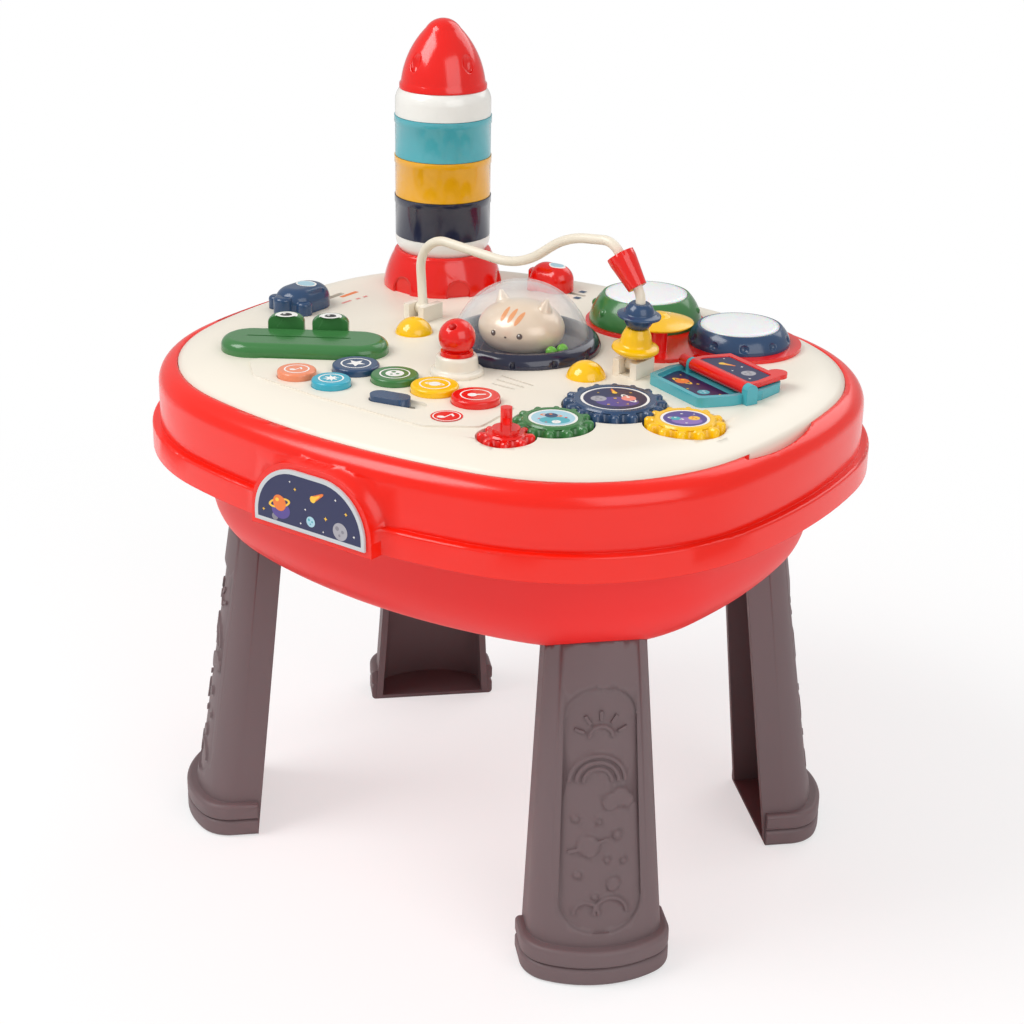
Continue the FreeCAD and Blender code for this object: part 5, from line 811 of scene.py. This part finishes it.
@dataclass
class Frog(SubAssembly):
    """Frog with a slit along its back and two eyes."""

    title: str = "frog"
    centre: tuple[float, float] = (-105.0, -87.0)
    turn: float = 33.0
    eye_side: float = 24.5
    eye_steps: tuple[float, float] = (-16.0, 14.0)
    finishes: dict[str, Any] = field(default_factory=lambda: {
        "frog_body": GREEN_PLASTIC, "frog_eyes": GREEN_PLASTIC,
    })

    def build(self) -> None:
        """Print the whites and pupils of the eyes."""
        lean = math.radians(self.turn)
        surface = tree_of("frog_eyes")
        for order, step in enumerate(self.eye_steps):
            x = self.centre[0] + step * math.cos(lean) - self.eye_side * math.sin(lean)
            y = self.centre[1] + step * math.sin(lean) + self.eye_side * math.cos(lean)
            art = Picture("frog_eye_print_%d" % (order + 1), Vector((x * MM, y * MM, DECK + 0.017)),
                          Vector((math.cos(lean), math.sin(lean), 0)),
                          Vector((-math.sin(lean), math.cos(lean), 0)), surface)
            art.disc(0, 0, 7.6, Hue.PAPER)
            art.disc(0, -1.2, 4.0, Hue.BLACK)
            art.disc(-1.3, 0.2, 1.1, Hue.PAPER)
            art.finish("board", "green")


@dataclass
class PictureBook(SubAssembly):
    """Board book: teal tray, steel rod and one red leaf."""

    title: str = "book"
    centre: tuple[float, float] = (148.0, 20.0)
    turn: float = -22.0
    floor_rise: float = 3.5
    axis_rise: float = 8.7
    leaf_thick: float = 3.0
    window_deep: float = 0.5
    finishes: dict[str, Any] = field(default_factory=lambda: {
        "book_tray": TEAL_PLASTIC, "book_rod": DRAWN_STEEL, "book_leaf": RED_PLASTIC,
    })

    def page(self, name: str, rise: float, side: float, outline: list[tuple[float, float]],
             under: bool = False) -> Picture:
        """Start a page: a dark sky laid in a window of the book.

        Args:
            name: the picture's name.
            rise: height over the deck in mm.
            side: 1 for the back half, -1 for the front half.
            outline: the window on the back half, in mm.
            under: whether the page faces down.

        Returns:
            The picture, still open.
        """
        lean = math.radians(self.turn)
        across = Vector((math.cos(lean), math.sin(lean), 0))
        up = Vector((-math.sin(lean), math.cos(lean), 0))
        origin = Vector((self.centre[0] * MM, self.centre[1] * MM, DECK + rise * MM))
        art = Picture(name, origin, -across if under else across, up)
        art.patch([(u, v * side) for u, v in outline], Hue.SKY)
        return art

    def build(self) -> None:
        """Print the tray's two pages and both sides of the leaf."""
        tray = [(-29.4, 6.0), (29.4, 6.0), (29.4, 10.0), (22.4, 28.4), (-22.4, 28.4), (-29.4, 10.0)]
        leaf = [(-26.6, 7.3), (25.6, 7.3), (25.6, 13.0), (21.7, 27.6), (-21.7, 27.6), (-26.6, 13.0)]
        front = self.page("book_front_page", self.floor_rise, -1, tray)
        front.planet(-12, -17, 4.6, Hue.ORANGE, Hue.SUN, 15)
        front.moon(12, -18, 4.0, Hue.TEAL, Hue.PALE_SKY)
        for x, y, size in ((-2, -12, 1.4), (2, -23, 1.2), (21, -12, 1.2), (-22, -11, 1.1), (-17, -25, 0.9)):
            front.star(x, y, size, Hue.SUN, 4, 0.4)
        front.finish("board", "teal")
        back = self.page("book_back_page", self.floor_rise, 1, tray)
        back.moon(-9, 18, 5.0, Hue.SUN, Hue.ORANGE)
        back.comet(8, 15, 2.2, 35)
        back.finish("board", "teal")
        top = self.page("leaf_upper_page", self.axis_rise + self.leaf_thick / 2 - self.window_deep, 1, leaf)
        top.comet(-13, 15, 2.1, 30)
        top.moon(11, 18, 4.8, Hue.MOON, Hue.CRATER)
        for x, y, size in ((-1, 22, 1.3), (-20, 22, 1.0), (20, 12, 1.2), (2, 12, 1.0)):
            top.star(x, y, size, Hue.PAPER, 4, 0.4)
        top.finish("leaf", "red")
        low = self.page("leaf_lower_page", self.axis_rise - self.leaf_thick / 2 + self.window_deep, 1,
                        [(-u, v) for u, v in leaf], True)
        low.planet(6, 17, 4.6, Hue.PINK, Hue.PAPER, 20)
        low.star(-12, 17, 2.2, Hue.SUN, 5)
        low.finish("leaf", "red")


@dataclass
class Rocket(SubAssembly):
    """Stacking rocket."""

    title: str = "rocket"
    finishes: dict[str, Any] = field(default_factory=lambda: {
        "rocket_base": RED_PLASTIC, "cup_lower": WHITE_PLASTIC, "cup_navy": NAVY_PLASTIC,
        "cup_mustard": MUSTARD_PLASTIC, "cup_teal": TEAL_PLASTIC, "cup_top": WHITE_PLASTIC,
        "nose_cone": RED_PLASTIC,
    })


@dataclass
class Sliders(SubAssembly):
    """Two capsule sliders with printed windows."""

    title: str = "sliders"
    finishes: dict[str, Any] = field(default_factory=lambda: {
        "slider_navy": DENIM_PLASTIC, "slider_red": RED_PLASTIC,
    })

    def build(self) -> None:
        """Print a pale window near each nose."""
        for node, shift, size in (("slider_navy", (0, 7), 8.0), ("slider_red", (6, 0), 6.5)):
            middle = middle_of(node)
            art = Picture(node + "_window", middle + Vector((shift[0] * MM, shift[1] * MM, 0.01)),
                          Vector((1, 0, 0)), Vector((0, 1, 0)), tree_of(node))
            art.disc(0, 0, size, Hue.PAPER, 0.8, 0)
            art.disc(0, 0, size - 1.3, Hue.PALE_SKY, 0.78, 0)
            art.finish(node + "_body", None)


@dataclass
class Studio:
    """Floor, light and camera."""

    camera_place: tuple[float, float, float] = (770.46, -1058.63, 782.39)
    camera_target: tuple[float, float, float] = (11.22, -9.26, 240.63)
    camera_roll: float = 1.0
    lens: float = 72.05
    sensor: float = 36.0
    floor_half: float = 30.0
    floor_glow: float = 1.0
    # Glow share next to the table; below 1, it paints a grey shade halo round the table even where no shadow
    # falls.
    floor_share: float = 0.55
    shade_reach: float = 0.35
    white_reach: float = 1.0
    key_watts: float = 27.0
    fill_watts: float = 15.0
    back_watts: float = 10.0
    sky: float = 0.5

    def white_for_rays(self, tree: bpy.types.NodeTree) -> bpy.types.NodeSocket:
        """Give 1 for rays seen straight or through a clear piece."""
        path = add_node(tree, "ShaderNodeLightPath")
        either = add_node(tree, "ShaderNodeMath", links={0: path.outputs["Is Camera Ray"],
                                                         1: path.outputs["Is Transmission Ray"]},
                          operation="MAXIMUM")
        return either.outputs[0]

    def world(self) -> None:
        """Make a soft white world that shows as white."""
        world = bpy.data.worlds.new("studio")
        world.use_nodes = True
        world.node_tree.nodes.clear()
        tree = world.node_tree
        soft = add_node(tree, "ShaderNodeBackground", {"Color": (1, 1, 1, 1), "Strength": self.sky})
        bright = add_node(tree, "ShaderNodeBackground", {"Color": (1, 1, 1, 1), "Strength": 1.0})
        mixed = add_node(tree, "ShaderNodeMixShader",
                         links={0: self.white_for_rays(tree), 1: soft.outputs[0], 2: bright.outputs[0]})
        add_node(tree, "ShaderNodeOutputWorld", links={"Surface": mixed.outputs[0]})
        bpy.context.scene.world = world

    def floor(self) -> None:
        """Lay a pale floor that keeps the table's real shadow, with a painted shade halo round the table where
        the glow share is lower.
        """
        mesh = bmesh.new()
        half = self.floor_half
        corners = [mesh.verts.new((x * half, y * half, -0.0002)) for x, y in ((-1, -1), (1, -1), (1, 1), (-1, 1))]
        mesh.faces.new(corners)
        data = bpy.data.meshes.new("studio_floor")
        mesh.to_mesh(data)
        mesh.free()
        material, tree = blank_material("matt_white_paper_sweep")
        shader = add_node(tree, "ShaderNodeBsdfPrincipled",
                          {"Base Color": linear(Hue.FLOOR), "Roughness": 0.9})
        glow = add_node(tree, "ShaderNodeEmission", {"Color": (1, 1, 1, 1), "Strength": self.floor_glow})
        seen = self.white_for_rays(tree)
        where = add_node(tree, "ShaderNodeTexCoord").outputs["Object"]
        away = add_node(tree, "ShaderNodeVectorMath", links={0: where}, operation="LENGTH")
        # Glow share rises from floor_share near the table to 1 far off: the grey ring near the table is painted
        # shade, on top of the real shadow.
        shade_halo_share = add_node(tree, "ShaderNodeMapRange",
                        {"From Min": self.shade_reach, "From Max": self.white_reach,
                         "To Min": self.floor_share, "To Max": 1.0},
                        {"Value": away.outputs["Value"]}, interpolation_type="SMOOTHSTEP")
        share = add_node(tree, "ShaderNodeMath", links={0: seen, 1: shade_halo_share.outputs["Result"]},
                         operation="MULTIPLY")
        mixed = add_node(tree, "ShaderNodeMixShader",
                         links={0: share.outputs[0], 1: shader.outputs[0], 2: glow.outputs[0]})
        add_node(tree, "ShaderNodeOutputMaterial", links={"Surface": mixed.outputs[0]})
        data.materials.append(material)
        floor = bpy.data.objects.new("studio_floor", data)
        bpy.context.scene.collection.objects.link(floor)

    def lamp(self, name: str, place: tuple[float, float, float], size: float, watts: float) -> None:
        """Hang a soft box that looks at the table.

        Args:
            name: the lamp's name.
            place: its middle in metres.
            size: its side in metres.
            watts: its power.
        """
        light = bpy.data.lights.new(name, "AREA")
        light.shape = "SQUARE"
        light.size = size
        light.energy = watts
        lamp = bpy.data.objects.new(name, light)
        lamp.location = place
        lamp.rotation_mode = "QUATERNION"
        lamp.rotation_quaternion = (Vector((0, 0, 0.3)) - Vector(place)).to_track_quat("-Z", "Y")
        bpy.context.scene.collection.objects.link(lamp)

    def camera(self) -> None:
        """Set the camera at the photograph's angle."""
        place = Vector(self.camera_place) * MM
        back = (place - Vector(self.camera_target) * MM).normalized()
        right = Vector((0, 0, 1)).cross(back).normalized()
        up = back.cross(right)
        roll = math.radians(self.camera_roll)
        rolled_right = right * math.cos(roll) + up * math.sin(roll)
        rolled_up = up * math.cos(roll) - right * math.sin(roll)
        data = bpy.data.cameras.new("photo_camera")
        data.lens = self.lens
        data.sensor_width = self.sensor
        camera = bpy.data.objects.new("photo_camera", data)
        turned = Matrix((rolled_right, rolled_up, back)).transposed()
        camera.matrix_world = Matrix.Translation(place) @ turned.to_4x4()
        bpy.context.scene.collection.objects.link(camera)
        bpy.context.scene.camera = camera

    def build(self) -> None:
        """Build the studio."""
        self.world()
        self.floor()
        self.lamp("key_softbox", (-0.9, -1.1, 1.9), 1.2, self.key_watts)
        self.lamp("fill_softbox", (1.8, -0.7, 1.3), 1.6, self.fill_watts)
        self.lamp("back_softbox", (0.2, 1.7, 1.6), 1.4, self.back_watts)
        self.camera()
        bpy.context.scene.view_settings.view_transform = "Standard"


def main() -> None:
    """Build and dress the table, then the studio."""
    logging.basicConfig(level=logging.INFO, format="%(name)s: %(message)s")
    for part in (TableBody(), Board(), MusicPanel(), GearTrain(), DrumSet(), CatDome(), KnobAndWire(),
                 Frog(), PictureBook(), Rocket(), Sliders()):
        part.dress()
        part.build()
        log.info("%s done", part.title)
    Studio().build()


if __name__ == "__main__":
    main()
